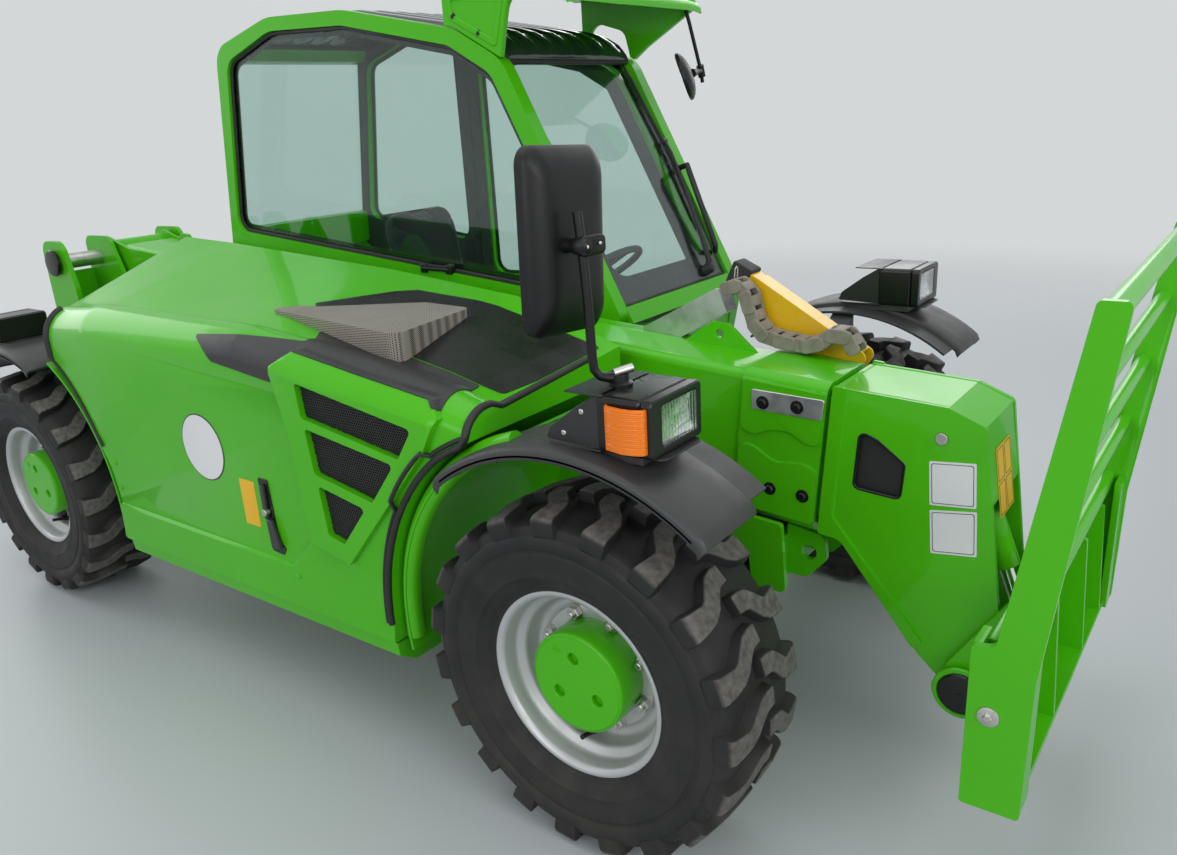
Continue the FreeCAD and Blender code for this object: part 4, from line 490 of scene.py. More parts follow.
def finish_for(name, colour, other, rough, patch=3.0, grain=900.0, relief=0.02, grain_size=0.0004,
               edge=0.0012, metal=0.0, coat=0.0, coat_rough=0.05, level=0.5, dust=0.0):
    """A finish whose colour drifts from colour to other and whose roughness drifts over the pair rough. Relief is
    the strength of the fine noise, edge the radius that the Bevel node gives sharp edges, and dust how much of
    a pale film lies on faces near the ground."""
    material = bpy.data.materials.new(name)
    material.use_nodes = True
    tree = material.node_tree
    shader = tree.nodes["Principled BSDF"]
    shader.inputs["Metallic"].default_value = metal
    shader.inputs["Coat Weight"].default_value = coat
    shader.inputs["Coat Roughness"].default_value = coat_rough
    shader.inputs["Specular IOR Level"].default_value = level
    place = tree.nodes.new("ShaderNodeTexCoord").outputs["Object"]
    share = drifting(tree, place, patch, 0.0, 1.0)
    tint = add(tree, "ShaderNodeMix", data_type="RGBA")
    link(tree, share, tint.inputs["Factor"])
    tint.inputs["A"].default_value = (*colour, 1.0)
    tint.inputs["B"].default_value = (*other, 1.0)
    colour_out = tint.outputs["Result"]
    rough_out = drifting(tree, place, patch * 2.7, rough[0], rough[1], 5.0)
    if dust > 0:
        height = add(tree, "ShaderNodeSeparateXYZ", Vector=place)
        low = add(tree, "ShaderNodeMapRange", Value=height.outputs["Z"])
        low.inputs["From Min"].default_value = 0.75
        low.inputs["From Max"].default_value = 0.05
        low.inputs["To Max"].default_value = dust
        broken = drifting(tree, place, 9.0, 0.1, 1.0, 6.0)
        film = add(tree, "ShaderNodeMath", operation="MULTIPLY")
        link(tree, low.outputs["Result"], film.inputs[0])
        link(tree, broken, film.inputs[1])
        dusty = add(tree, "ShaderNodeMix", data_type="RGBA")
        link(tree, film.outputs[0], dusty.inputs["Factor"])
        link(tree, colour_out, dusty.inputs["A"])
        dusty.inputs["B"].default_value = (0.20, 0.18, 0.15, 1.0)
        colour_out = dusty.outputs["Result"]
        duller = add(tree, "ShaderNodeMath", operation="ADD", use_clamp=True)
        link(tree, rough_out, duller.inputs[0])
        link(tree, film.outputs[0], duller.inputs[1])
        rough_out = duller.outputs[0]
    link(tree, colour_out, shader.inputs["Base Color"])
    link(tree, rough_out, shader.inputs["Roughness"])
    fine = add(tree, "ShaderNodeTexNoise", Vector=place, Scale=grain, Detail=2.0)
    bump = add(tree, "ShaderNodeBump", Strength=relief, Distance=grain_size)
    link(tree, fine.outputs["Fac"], bump.inputs["Height"])
    if edge > 0:
        turn = add(tree, "ShaderNodeBevel", samples=4, Radius=edge)
        link(tree, turn.outputs["Normal"], bump.inputs["Normal"])
    link(tree, bump.outputs["Normal"], shader.inputs["Normal"])
    return material


# %% [markdown]
# ## The paints
# The body is sprayed a bright leaf green and cleared, so it has a deep gloss with a faint orange peel. The
# boom's safety prop is a warm yellow, the rims a silver that is half metal, and the fixings zinc.

# %% Paints and metals
GREEN = finish_for("green_gloss", (0.078, 0.510, 0.004), (0.068, 0.465, 0.003), (0.28, 0.40), patch=1.6,
                   grain=420.0, relief=0.012, grain_size=0.0003, coat=0.35, coat_rough=0.04, level=0.15)
YELLOW = finish_for("yellow_gloss", (0.86, 0.53, 0.006), (0.78, 0.47, 0.006), (0.26, 0.40), grain=420.0,
                    relief=0.02, grain_size=0.0003, coat=0.4, coat_rough=0.08)
SILVER = finish_for("rim_silver", (0.60, 0.61, 0.62), (0.52, 0.53, 0.54), (0.30, 0.46), grain=500.0, relief=0.06,
                    metal=0.55, coat=0.2, coat_rough=0.2, dust=0.25)
ZINC = finish_for("zinc", (0.62, 0.61, 0.57), (0.48, 0.48, 0.46), (0.28, 0.48), patch=40.0, grain=900.0,
                  relief=0.12, edge=0.0006, metal=1.0)
CHROME = finish_for("chrome", (0.82, 0.83, 0.84), (0.76, 0.77, 0.78), (0.05, 0.12), grain=300.0, relief=0.01,
                    edge=0.0006, metal=1.0)
ALUMINIUM = finish_for("aluminium", (0.70, 0.71, 0.72), (0.58, 0.59, 0.60), (0.30, 0.44), patch=12.0, grain=500.0,
                       relief=0.08, edge=0.0008, metal=0.9)
SATIN_BLACK = finish_for("satin_black", (0.016, 0.016, 0.017), (0.024, 0.024, 0.025), (0.34, 0.52), grain=420.0,
                         relief=0.12, dust=0.12)
CAST_GREY = finish_for("cast_engine", (0.055, 0.056, 0.06), (0.10, 0.10, 0.10), (0.5, 0.75), patch=9.0, grain=300.0,
                       relief=0.35, metal=0.4)
print("paints and metals:", len(bpy.data.materials))

# %% [markdown]
# ## Plastic, rubber and glass
# Moulded plastic has a leather-like grain that breaks its gloss, so its relief is deeper and its roughness
# high. Rubber is duller and a little brown with dust. The windows are a faint green glass: the pane bends
# and mirrors light, and lets the lamps through, which is what the mix with a Transparent shader does.

# %% Plastics, rubber and glass
GRAINED = finish_for("grained_plastic", (0.032, 0.032, 0.033), (0.046, 0.046, 0.046), (0.40, 0.56), patch=5.0,
                     grain=1300.0, relief=0.35, grain_size=0.0003, level=0.5)
SMOOTH_BLACK = finish_for("smooth_plastic", (0.006, 0.006, 0.0065), (0.010, 0.010, 0.0105), (0.22, 0.36),
                          grain=700.0, relief=0.05, level=0.4)
PALE_PLASTIC = finish_for("pale_plastic", (0.34, 0.34, 0.33), (0.28, 0.28, 0.27), (0.45, 0.6), grain=900.0,
                          relief=0.2)
GASKET = finish_for("gasket_rubber", (0.012, 0.012, 0.012), (0.020, 0.020, 0.020), (0.5, 0.7), grain=700.0,
                    relief=0.2)
TYRE = finish_for("tyre_rubber", (0.0115, 0.0115, 0.012), (0.021, 0.020, 0.020), (0.52, 0.74), patch=7.0,
                  grain=520.0, relief=0.30, grain_size=0.0005, level=0.35, dust=0.13)


def clear_finish(name, tint, through, rough=0.0, ior=1.45):
    """Glass: the Principled shader with full transmission, mixed with Transparent for the rays that come from
    lamps."""
    material = bpy.data.materials.new(name)
    material.use_nodes = True
    tree = material.node_tree
    shader = tree.nodes["Principled BSDF"]
    shader.inputs["Base Color"].default_value = (*tint, 1.0)
    shader.inputs["Transmission Weight"].default_value = 1.0
    shader.inputs["Roughness"].default_value = rough
    shader.inputs["IOR"].default_value = ior
    place = tree.nodes.new("ShaderNodeTexCoord").outputs["Object"]
    wave = add(tree, "ShaderNodeTexNoise", Vector=place, Scale=6.0, Detail=1.0)
    bump = add(tree, "ShaderNodeBump", Strength=0.02, Distance=0.002)
    link(tree, wave.outputs["Fac"], bump.inputs["Height"])
    link(tree, bump.outputs["Normal"], shader.inputs["Normal"])
    clear = add(tree, "ShaderNodeBsdfTransparent", Color=(*through, 1.0))
    pick = tree.nodes.new("ShaderNodeMixShader")
    link(tree, tree.nodes.new("ShaderNodeLightPath").outputs["Is Shadow Ray"], pick.inputs["Fac"])
    link(tree, shader.outputs["BSDF"], pick.inputs[1])
    link(tree, clear.outputs["BSDF"], pick.inputs[2])
    link(tree, pick.outputs["Shader"], tree.nodes["Material Output"].inputs["Surface"])
    return material


WINDOW = clear_finish("window_glass", (0.70, 0.83, 0.79), (0.66, 0.78, 0.74))
ROOF_TINT = clear_finish("roof_tint", (0.18, 0.24, 0.22), (0.12, 0.16, 0.15))
LENS = clear_finish("lamp_lens", (0.96, 0.97, 0.98), (0.9, 0.9, 0.9), 0.02)
AMBER = clear_finish("amber_lens", (0.98, 0.30, 0.01), (0.95, 0.4, 0.03), 0.08)
AMBER.node_tree.nodes["Principled BSDF"].inputs["Transmission Weight"].default_value = 0.35
print("finishes:", sorted(m.name for m in bpy.data.materials))

# %% [markdown]
# ## The solids take their finish
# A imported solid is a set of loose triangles. A copy of it is merged and its flat faces joined up, so that curved
# walls shade smoothly and a Bevel modifier can round the edges of the plates, as a laser-cut and painted plate
# really is. The copy stands for the solid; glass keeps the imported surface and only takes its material.

# %% Dress the solids
FINISH_OF = {
    "green_paint": GREEN, "yellow_paint": YELLOW, "rim_paint": SILVER, "tyre_rubber": TYRE,
    "black_steel": SATIN_BLACK, "black_plastic": GRAINED, "grey_plastic": PALE_PLASTIC, "window_glass": WINDOW,
    "roof_glass": ROOF_TINT, "seat_cover": GASKET, "engine": CAST_GREY, "bright_steel": ZINC, "rod_chrome": CHROME,
}
BODY_OF = {node: body for body, members in frame["record"]["behaviour"]["bodies"].items() for node in members}


def dressed(node, radius=0.0018, steps=2, angle=32.0, finish=None):
    """A joined-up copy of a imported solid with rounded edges, riding where the solid rides and standing for it."""
    work = bmesh.new()
    work.from_mesh(nodes[node].data)
    bmesh.ops.remove_doubles(work, verts=work.verts, dist=2e-5)
    bmesh.ops.dissolve_limit(work, angle_limit=math.radians(0.5), verts=work.verts, edges=work.edges)
    mesh = bpy.data.meshes.new(node + "_dressed")
    work.to_mesh(mesh)
    work.free()
    soften(mesh, angle)
    mesh.materials.append(finish or FINISH_OF[SLOTS[node]])
    piece = bpy.data.objects.new(node + "_dressed", mesh)
    bpy.context.scene.collection.objects.link(piece)
    if radius > 0:
        rounded_edges(piece, radius, steps)
    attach(piece, BODY_OF[node])
    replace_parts(piece, node)
    return piece


KEPT = [n for n in nodes if SLOTS[n] in ("window_glass", "roof_glass")]
for node in KEPT:
    nodes[node].data.materials.clear()
    nodes[node].data.materials.append(FINISH_OF[SLOTS[node]])
REDRAWN = [n for n in nodes if n.startswith("tyre_") or n.startswith("rim_")]
pieces = {n: dressed(n) for n in sorted(nodes) if n not in KEPT and n not in REDRAWN}
for node in REDRAWN:
    pieces[node] = dressed(node, 0.0)
print("dressed:", len(pieces), "kept:", KEPT)

# %% [markdown]
# ## Tyres
# A 12-16.5 tyre for mixed ground has thick lugs that start as a broad root on the shoulder, run straight in, bend
# and end in a short block past the middle; the two sides interlock. The side wall has a rib that guards it and a
# step at the bead. The carcass is one closed profile carried round the axle. A lug is a grid too: stations along
# its middle line, and six points across at each, so its flanks lean and its top edges are chamfered.

# %% Tyre shapes
TYRE_SIDE = np.array([(98, 210), (108, 211), (114.5, 216), (116.5, 225), (119, 231.5), (122, 234), (122.5, 236),
                      (125, 238), (131, 246), (136, 258), (138.6, 261), (141.4, 264), (141.6, 268), (140.8, 271),
                      (142.4, 284), (144, 302), (144.2, 316), (141.8, 320), (141.8, 325), (145.6, 330),
                      (149.4, 338), (149.6, 346), (148, 354), (145, 359), (142.5, 361), (141, 367), (136, 377),
                      (126, 383), (100, 386.5), (50, 389.5), (0, 391),]) / 1000.0
# Stations along a lug: the middle line's distance from the wheel's middle plane and its advance round the tyre,
# the top's radius and width, then the foot's distance, radius and width, all in millimetres
LUG = np.array([
    (146.0, 0, 360, 60, 138, 354, 66), (149.0, 0, 372, 62, 138, 362, 72), (149.0, 0, 392, 62, 134, 372, 76),
    (145.5, 0, 401, 61, 128, 378, 76), (139.0, 0, 405, 59, 126, 380, 74), (112.0, 0, 409, 54, 112, 383, 66),
    (86.0, 2, 411.5, 48, 86, 385, 60), (68.0, 12, 413, 45, 68, 386, 57), (48.0, 32, 414.3, 43, 48, 387, 55),
    (31.0, 46, 415, 44, 31, 388, 55), (12.0, 50, 415.4, 43, 12, 388, 54), (-8.0, 51, 415.4, 41, -8, 388, 52),
    (-11.0, 51, 413, 38, -13, 388, 50), (-13.0, 51, 388, 34, -15, 386, 48),
]) / 1000.0
LUGS = 19
ROLL = 0.4155


def lug_grid():
    """One lug as (stations, 6, 3) of angle, distance and radius. Across the lug the points are offset along the
    normal of its middle line by half the foot's width, half the top's, and half the top's less the chamfer."""
    top = np.stack([LUG[:, 0], LUG[:, 1]], -1)
    run = np.gradient(top, axis=0)
    run[:5] = (-1.0, 0.0)
    run[-3:] = (-1.0, 0.0)
    run /= np.linalg.norm(run, axis=1)[:, None]
    across = np.stack([-run[:, 1], run[:, 0]], -1)
    chamfer = 0.003
    grid = np.zeros((len(LUG), 6, 3))
    for k, (share, foot, drop) in enumerate(((-1, 1, 0), (-1, 0, chamfer), (-1, 0, 0), (1, 0, 0), (1, 0, chamfer),
                                             (1, 1, 0))):
        half = np.where(foot, LUG[:, 6], LUG[:, 3] - (0 if drop or foot else 2 * chamfer)) / 2
        flat = np.where(foot, LUG[:, [4, 1]].T, top.T).T + share * half[:, None] * across
        grid[:, k, 0] = flat[:, 1] / ROLL
        grid[:, k, 1] = flat[:, 0]
        grid[:, k, 2] = np.where(foot, LUG[:, 5], LUG[:, 2] - drop)
    return grid


def tyre_arrays(x, side):
    """Points, faces and wear of a whole tyre. A point at angle t, distance d and radius r is
    (x + r cos t, side * (WHEEL_Y + d), AXLE_Z + r sin t)."""
    def place(t, d, r):
        return np.stack(np.broadcast_arrays(x + r * np.cos(t), side * (WHEEL_Y + d), AXLE_Z + r * np.sin(t)), -1)

    profile = np.concatenate([TYRE_SIDE, TYRE_SIDE[-2::-1] * (-1, 1)])
    t = np.arange(144) * 2 * np.pi / 144
    shell = place(t[None, :], profile[:, :1], profile[:, 1:]).reshape(-1, 3)
    shell_faces = grid_faces(len(profile), 144, close_rows=True, close_columns=True)
    one = lug_grid()
    rows, columns = one.shape[:2]
    faces = grid_faces(rows, columns, close_columns=True).tolist()
    faces += [list(range(columns)), list(range((rows - 1) * columns, rows * columns))]
    parts, worn = [(shell, shell_faces)], [np.zeros(len(shell))]
    top = np.zeros((rows, columns))
    top[3:12, 2:4] = 1.0
    for half, shift in ((1, 0.0), (-1, 0.5)):
        for k in range(LUGS):
            turn = one[..., 0] + (k + shift) * 2 * np.pi / LUGS
            parts.append((place(turn, half * one[..., 1], one[..., 2]).reshape(-1, 3), faces))
            worn.append(top.reshape(-1))
    return *gather(parts), np.concatenate(worn)


print("lug stations:", len(LUG), "profile points:", 2 * len(TYRE_SIDE) - 1)

# %% [markdown]
# The tops of new lugs still carry a pale skin from the road, while their flanks stay black. A number stored on
# each point says which is top, and the tyre's finish reads it to choose between the two.

# %% Tyre finish and tyres
tree = TYRE.node_tree
shader = tree.nodes["Principled BSDF"]
black = shader.inputs["Base Color"].links[0].from_socket
worn_share = add(tree, "ShaderNodeAttribute", attribute_name="worn")
scuffs = drifting(tree, tree.nodes["Texture Coordinate"].outputs["Object"], 60.0, 0.35, 1.0, 5.0)
amount = add(tree, "ShaderNodeMath", operation="MULTIPLY")
link(tree, worn_share.outputs["Fac"], amount.inputs[0])
link(tree, scuffs, amount.inputs[1])
skin = add(tree, "ShaderNodeMix", data_type="RGBA")
link(tree, amount.outputs[0], skin.inputs["Factor"])
link(tree, black, skin.inputs["A"])
skin.inputs["B"].default_value = (0.150, 0.140, 0.128, 1.0)
link(tree, skin.outputs["Result"], shader.inputs["Base Color"])


def stand_for(piece, *names):
    """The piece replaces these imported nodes, so their dressed copies are taken away."""
    for name in names:
        if name in pieces:
            bpy.data.objects.remove(pieces.pop(name))
    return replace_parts(piece, *names)


for corner, x, side in CORNERS:
    points, faces, worn = tyre_arrays(x, side)
    tyre = piece_from("tyre_" + corner + "_lugs", [(points, faces)], "wheel_" + corner, TYRE, 28.0, 0.0)
    mark = tyre.data.attributes.new("worn", "FLOAT", "POINT")
    mark.data.foreach_set("value", worn.astype(np.float32))
    stand_for(tyre, "tyre_" + corner)
print("tyre points:", len(points), "faces:", len(faces))

# %% [markdown]
# ## Rims and hubs
# The rim is pressed steel: a rolled flange, the bead seat, a drop centre and a disc with eight nuts. Seen from
# outside it is a row of bright and dark rings, and a turned profile gives exactly that. The green planetary hub
# stands out of it. Its face is a plate with three round sockets and a small plug near the rim of the face.

# %% Rim and hub shapes
RIM = np.array([(104, 214), (110, 219), (114, 223), (117.5, 222), (118.5, 218), (117, 213), (112, 207),
                (104, 204.5), (84, 203), (74, 201.5), (69, 197), (64, 187), (59, 181), (52, 179), (30, 178.5),
                (22, 175), (17, 167), (16, 158), (19, 151), (25, 147), (26, 132), (26, 110), (16, 110), (16, 140),
                (8, 150), (4, 165), (4, 184), (8, 188), (50, 189), (57, 192), (63, 206), (72, 209.5),
                (98, 212),]) / 1000.0
RIM_BACK = np.array([
    (6, 186), (-50, 186), (-60, 194), (-68, 208), (-104, 212), (-112, 219), (-117, 222), (-117, 214), (-110, 206),
    (-72, 200), (-66, 188), (-56, 180), (6, 178),
]) / 1000.0
HUB = np.array([(14, 0), (14, 112), (20, 118), (24, 120), (100, 120), (105, 119.2), (108.5, 116.8), (109.6, 113.3),
                (96, 113), (96, 0)]) / 1000.0
SOCKETS = ((95, 0.060), (215, 0.060), (335, 0.060))


def nut(centre, axis, flat=0.0145, height=0.018, stud=0.009, reach=0.028):
    """A wheel nut: a collar, a hexagon whose top is chamfered to a circle, and the stud's end. All are turned
    profiles; the hexagon is one of six sides."""
    corner = flat / math.cos(math.pi / 6)
    collar = turned([(0, 0), (0, flat * 1.3), (0.004, flat * 1.22), (0.004, 0)], centre, axis, 20)
    head = turned([(0.003, 0), (0.003, corner), (height - 0.002, corner), (height, corner * 0.86), (height, 0)],
                  centre, axis, 6)
    end = turned([(height - 0.002, 0), (height - 0.002, stud), (reach - 0.0015, stud), (reach, stud * 0.8),
                  (reach, 0)], centre, axis, 12)
    return [collar, head, end]


def round_wheel(x, side, distance, angle, radius):
    """A place on a wheel: distance outwards from its middle plane, and radius at an angle in degrees that turns
    from forward to up."""
    t = math.radians(angle)
    return np.array([x + radius * math.cos(t), side * (WHEEL_Y + distance), AXLE_Z + radius * math.sin(t)])


# %% Rims and hubs
for corner, x, side in CORNERS:
    middle, outwards = (x, side * WHEEL_Y, AXLE_Z), (0.0, side, 0.0)
    body = "wheel_" + corner
    rim = [turned(np.concatenate([profile, profile[:1]]), middle, outwards, 96) for profile in (RIM, RIM_BACK)]
    rim = piece_from("rim_" + corner + "_turned", rim, body, SILVER, 40.0)
    stand_for(rim, "rim_" + corner)
    nuts = []
    for k in range(8):
        nuts += nut(round_wheel(x, side, 0.025, 22.5 + 45 * k, 0.1345), outwards)
    piece_from("nuts_" + corner, nuts, body, ZINC)
    face_up = np.array([0.0, 0.0, 1.0])
    face_along = np.array([1.0, 0.0, 0.0]) * -side
    holes = [circle(-side * r * math.cos(math.radians(a)), r * math.sin(math.radians(a)), 0.0145)
             for a, r in SOCKETS]
    hub = [turned(HUB, middle, outwards, 96)]
    hub.append(plate([circle(0, 0, 0.1136, 96)] + holes, 0.014, round_wheel(x, side, 0.0956, 0, 0.0), face_along,
                     face_up, 0.0016))
    hub.append(turned([(0.108, 0), (0.108, 0.009), (0.1115, 0.009), (0.1115, 0.005), (0.1095, 0.0045), (0.1095, 0)],
                      round_wheel(x, side, 0, 125, 0.088), outwards, 24))
    piece_from("hub_" + corner, hub, body, GREEN, 40.0)
    valve = tube([round_wheel(x, side, 0.03 + 0.016 * k, 268, 0.165 - 0.004 * k) for k in range(5)],
                 [0.0085, 0.008, 0.0055, 0.0055, 0.0062], 12)
    hood = turned([(0, 0), (0.0, 0.024), (0.006, 0.026), (0.020, 0.020), (0.026, 0.0)],
                  round_wheel(x, side, 0.036, 256, 0.150), outwards, 20)
    piece_from("valve_" + corner, [valve, hood], body, SMOOTH_BLACK)
print("rims, hubs and", 8 * len(CORNERS), "wheel nuts")

# %% [markdown]
# ## Trim that follows a curved panel
# The engine cover rolls over from its side to its top, so nothing flat fits it. Seen along a line that slants
# down at 45 degrees, side and top are one smooth sheet, and a place on it has two numbers: how far ahead of the
# axle it is, and y + z. Trim is drawn in those two numbers and dropped along the slant until it meets the panel.

# %% Helpers that lay trim on a panel
SLANT = Vector((0.0, 1.0, -1.0)).normalized()


def skin_of(node):
    """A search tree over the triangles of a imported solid."""
    mesh = nodes[node].data
    points = np.empty(3 * len(mesh.vertices))
    mesh.vertices.foreach_get("co", points)
    return BVHTree.FromPolygons(points.reshape(-1, 3).tolist(), [tuple(face.vertices) for face in mesh.polygons])


def dropped(skin, flat, lift=0.0):
    """Drops places (ahead, y + z) on a skin: a ray starts at (x, s / 2 - 2, s / 2 + 2) and runs along the slant.
    The point found is moved by lift along the normal there."""
    found, last = [], None
    for x, s in np.asarray(flat, float):
        place, normal, face, far = skin.ray_cast(Vector((FRONT_AXLE_X + x, s / 2 - 2.0, s / 2 + 2.0)), SLANT)
        if place is None:
            place, normal, face, far = skin.find_nearest(last or Vector((FRONT_AXLE_X + x, -0.8, s + 0.8)))
        last = place
        found.append(place + normal * (lift if normal.dot(SLANT) < 0 else -lift))
    return np.array(found)


def filled(outline, step=0.012):
    """A flat outline as triangles whose sides are no longer than a step: long sides are halved until none is
    left."""
    work = bmesh.new()
    work.faces.new([work.verts.new((x, s, 0.0)) for x, s in outline])
    bmesh.ops.triangulate(work, faces=work.faces)
    for turn in range(9):
        long = [edge for edge in work.edges if edge.calc_length() > step]
        if not long:
            break
        bmesh.ops.subdivide_edges(work, edges=long, cuts=1)
        bmesh.ops.triangulate(work, faces=work.faces)
    work.verts.index_update()
    points = np.array([v.co[:2] for v in work.verts])
    faces = [[v.index for v in face.verts] for face in work.faces]
    work.free()
    return points, faces


def laid(name, skin, outline, lift, thick, body, finish, step=0.012):
    """A sheet of an outline laid on a skin, with a wall of the given thickness behind its face."""
    flat, faces = filled(outline, step)
    points = dropped(skin, flat, lift)
    piece = piece_from(name, [(points, faces)], body, finish, 50.0)
    count = len(piece.data.polygons)
    if sum(face.normal.y - face.normal.z for face in piece.data.polygons) > 0:
        piece.data.flip_normals()
    walled(piece, thick, -1.0)
    rounded_edges(piece, min(0.0012, 0.4 * thick), 2, 50.0)
    print(name, count)
    return piece


cover = skin_of("engine_cover")
print("cover under the sign:", np.round(dropped(cover, [(-1.333, -0.107)])[0], 3))

# %% [markdown]
# ## The black band and the dark deck of the cover
# A satin black moulding starts as a long blade behind the grille frame, runs over it along the shoulder and ends
# at the wheel arch. Above it, ahead of the air intake, the deck is a glossy dark panel. Both are sheets laid on
# the cover.

# %% Band and deck
BAND = np.array([
    (-1282, 240), (-1074, 268), (-885, 294), (-872, 298), (-925, 392), (-805, 380), (-617, 356), (-451, 327),
    (-356, 302), (-344, 112), (-377, 160), (-604, 191), (-865, 230), (-915, 184), (-929, 124), (-1184, 153),
]) / 1000.0
DECK = np.array([(-925, 400), (-805, 388), (-617, 364), (-451, 335), (-357, 309), (-300, 300), (-288, 420),
                 (-288, 700), (-672, 776), (-835, 778), (-893, 780), (-950, 740), (-1100, 560),]) / 1000.0
laid("cover_band", cover, rounded([(x, s, 0.008) for x, s in BAND], 3), 0.0030, 0.0045, "engine_cover", SATIN_BLACK)
laid("cover_deck", cover, rounded([(x, s, 0.012) for x, s in DECK], 4), 0.0020, 0.0035, "engine_cover",
     SMOOTH_BLACK)

# %% [markdown]
# ## Rubber seals round the wheel arches
# Where the cover closes against the wings it carries a push-on rubber seal with two bulbs, one fat and one thin.
# Its line follows the rim: down the shoulder, round the arch about the axle, and straight down. Each bulb is a
# round bar along that line.

# %% Arch seals
def arch_line(axle, turn, radius, start, end, over=None, below=None):
    """Places (ahead, y + z) along an arch: axle + turn * radius * sin t and z = axle + radius * cos t, with y the
    cover's side, then the run over the shoulder before it and the run down after it."""
    t = np.radians(np.linspace(start, end, 40))
    x = axle + turn * radius * np.sin(t)
    line = np.stack([x, AXLE_Z + radius * np.cos(t) - 0.862], -1)
    if over is not None:
        run = np.linspace(over, line[0, 1], 34)[:-1]
        line = np.concatenate([np.stack([np.full(len(run), x[0]), run], -1), line])
    if below is not None:
        run = np.linspace(line[-1, 1], below, 8)[1:]
        line = np.concatenate([line, np.stack([np.full(len(run), x[-1]), run], -1)])
    return line


for name, axle, turn, over, ends, below in (("front", 0.0, -1.0, 0.62, (27.5, 90.0), -0.47),
                                            ("rear", -2.460, 1.0, 0.30, (29.5, 66.0), None)):
    bulbs = []
    for radius, thick, lift in ((0.5825, 0.0085, 0.005), (0.5975, 0.0055, 0.003)):
        bulbs.append(tube(dropped(cover, arch_line(axle, turn, radius, *ends, over, below), lift), thick, 14))
    piece_from("seal_" + name, bulbs, "engine_cover", GASKET, 60.0)
print("seals laid")

# %% [markdown]
# ## The rolled lip of the wing
# Inside the seal the wing's edge is rolled to a fat round lip, which is what makes the arch look moulded rather
# than cut. It is a bar of changing thickness along the arch, and it stays on the chassis when the cover opens.

# %% Wing lip
t = np.radians(np.linspace(16.0, 90.0, 44))
lip = np.stack([FRONT_AXLE_X - 0.545 * np.sin(t), np.full(44, -0.822), AXLE_Z + 0.545 * np.cos(t)], -1)
down = np.stack([np.full(6, lip[-1, 0]), np.full(6, -0.822), np.linspace(AXLE_Z, 0.352, 7)[1:]], -1)
piece_from("wing_lip", [tube(np.concatenate([lip, down]), 0.023, 24)], "root", GREEN, 60.0)

# %% [markdown]
# ## Honeycomb behind the grille openings
# The three openings are closed by black expanded mesh with six-sided holes. A bump map would look printed from
# close by, so the mesh is real: each cell is a six-sided ring of flats round a hole, and the hole has walls. One
# cell is worked out once and shifted to every centre that lies inside the opening.

# %% Honeycomb
def honeycomb(outline, pitch, hole, y, depth):
    """Cells of a honeycomb whose centres lie inside an outline (ahead, height): centre + radius * (cos k, sin k)
    for the six corners of the cell and of its hole, with the hole's walls going inwards by depth."""
    outline = np.asarray(outline, float)
    low, high = outline.min(0), outline.max(0)
    i = np.arange(int((high[0] - low[0]) / pitch) + 2)
    j = np.arange(int((high[1] - low[1]) / (pitch * 0.866)) + 2)
    grid = np.stack(np.meshgrid(i, j, indexing="ij"), -1).reshape(-1, 2).astype(float)
    centres = low + np.stack([(grid[:, 0] + 0.5 * (grid[:, 1] % 2)) * pitch, grid[:, 1] * pitch * 0.866], -1)
    a, b = outline, np.roll(outline, -1, 0)
    p = centres[:, None]
    crosses = (a[:, 1] > p[..., 1]) != (b[:, 1] > p[..., 1])
    at = a[:, 0] + (p[..., 1] - a[:, 1]) / np.where(b[:, 1] == a[:, 1], 1, b[:, 1] - a[:, 1]) * (b[:, 0] - a[:, 0])
    centres = centres[(crosses & (p[..., 0] < at)).sum(1) % 2 == 1]
    k = np.radians(30 + 60 * np.arange(6))
    six = np.stack([np.cos(k), np.sin(k)], -1) * pitch / math.sqrt(3)
    rings = ((six, y), (six * hole, y), (six * hole, y + depth))
    cell = np.concatenate([np.stack([r[:, 0], np.full(6, level), r[:, 1]], -1) for r, level in rings])
    shift = np.stack([FRONT_AXLE_X + centres[:, 0], np.zeros(len(centres)), centres[:, 1]], -1)
    points = (shift[:, None] + cell[None]).reshape(-1, 3)
    faces = grid_faces(3, 6, close_columns=True)
    return points, (faces[None] + 18 * np.arange(len(centres))[:, None, None]).reshape(-1, 4).tolist()


OPENINGS = (
    ((-812, 1004), (-410, 941), (-466, 862), (-804, 914)), ((-798, 888), (-484, 844), (-576, 732), (-784, 768)),
    ((-778, 738), (-606, 708), (-706, 592), (-764, 604)),
)
mesh_parts = [honeycomb(np.array(corners) / 1000.0, 0.0078, 0.74, -0.866, 0.004) for corners in OPENINGS]
piece_from("grille_mesh", mesh_parts, "engine_cover", SATIN_BLACK, 40.0, 1e-5)
print("honeycomb cells:", sum(len(points) for points, faces in mesh_parts) // 18)

# %% [markdown]
# ## Sign, plates and the door's latch
# On the side panel sit a round white sign and a yellow plate, both blank, and the long black latch of the cover
# in its slot, with a lever at its foot. They are thin plates on the pressed panel, 11 mm below the
# cover's face.

# %% Sign, plates and latch
WHITE_SHEET = finish_for("white_sheet", (0.80, 0.81, 0.82), (0.74, 0.75, 0.77), (0.28, 0.36), grain=600.0,
                         relief=0.03)
YELLOW_SHEET = finish_for("yellow_sheet", (0.90, 0.50, 0.010), (0.84, 0.45, 0.010), (0.30, 0.40), grain=600.0,
                          relief=0.03)
PANEL_Y = -0.851


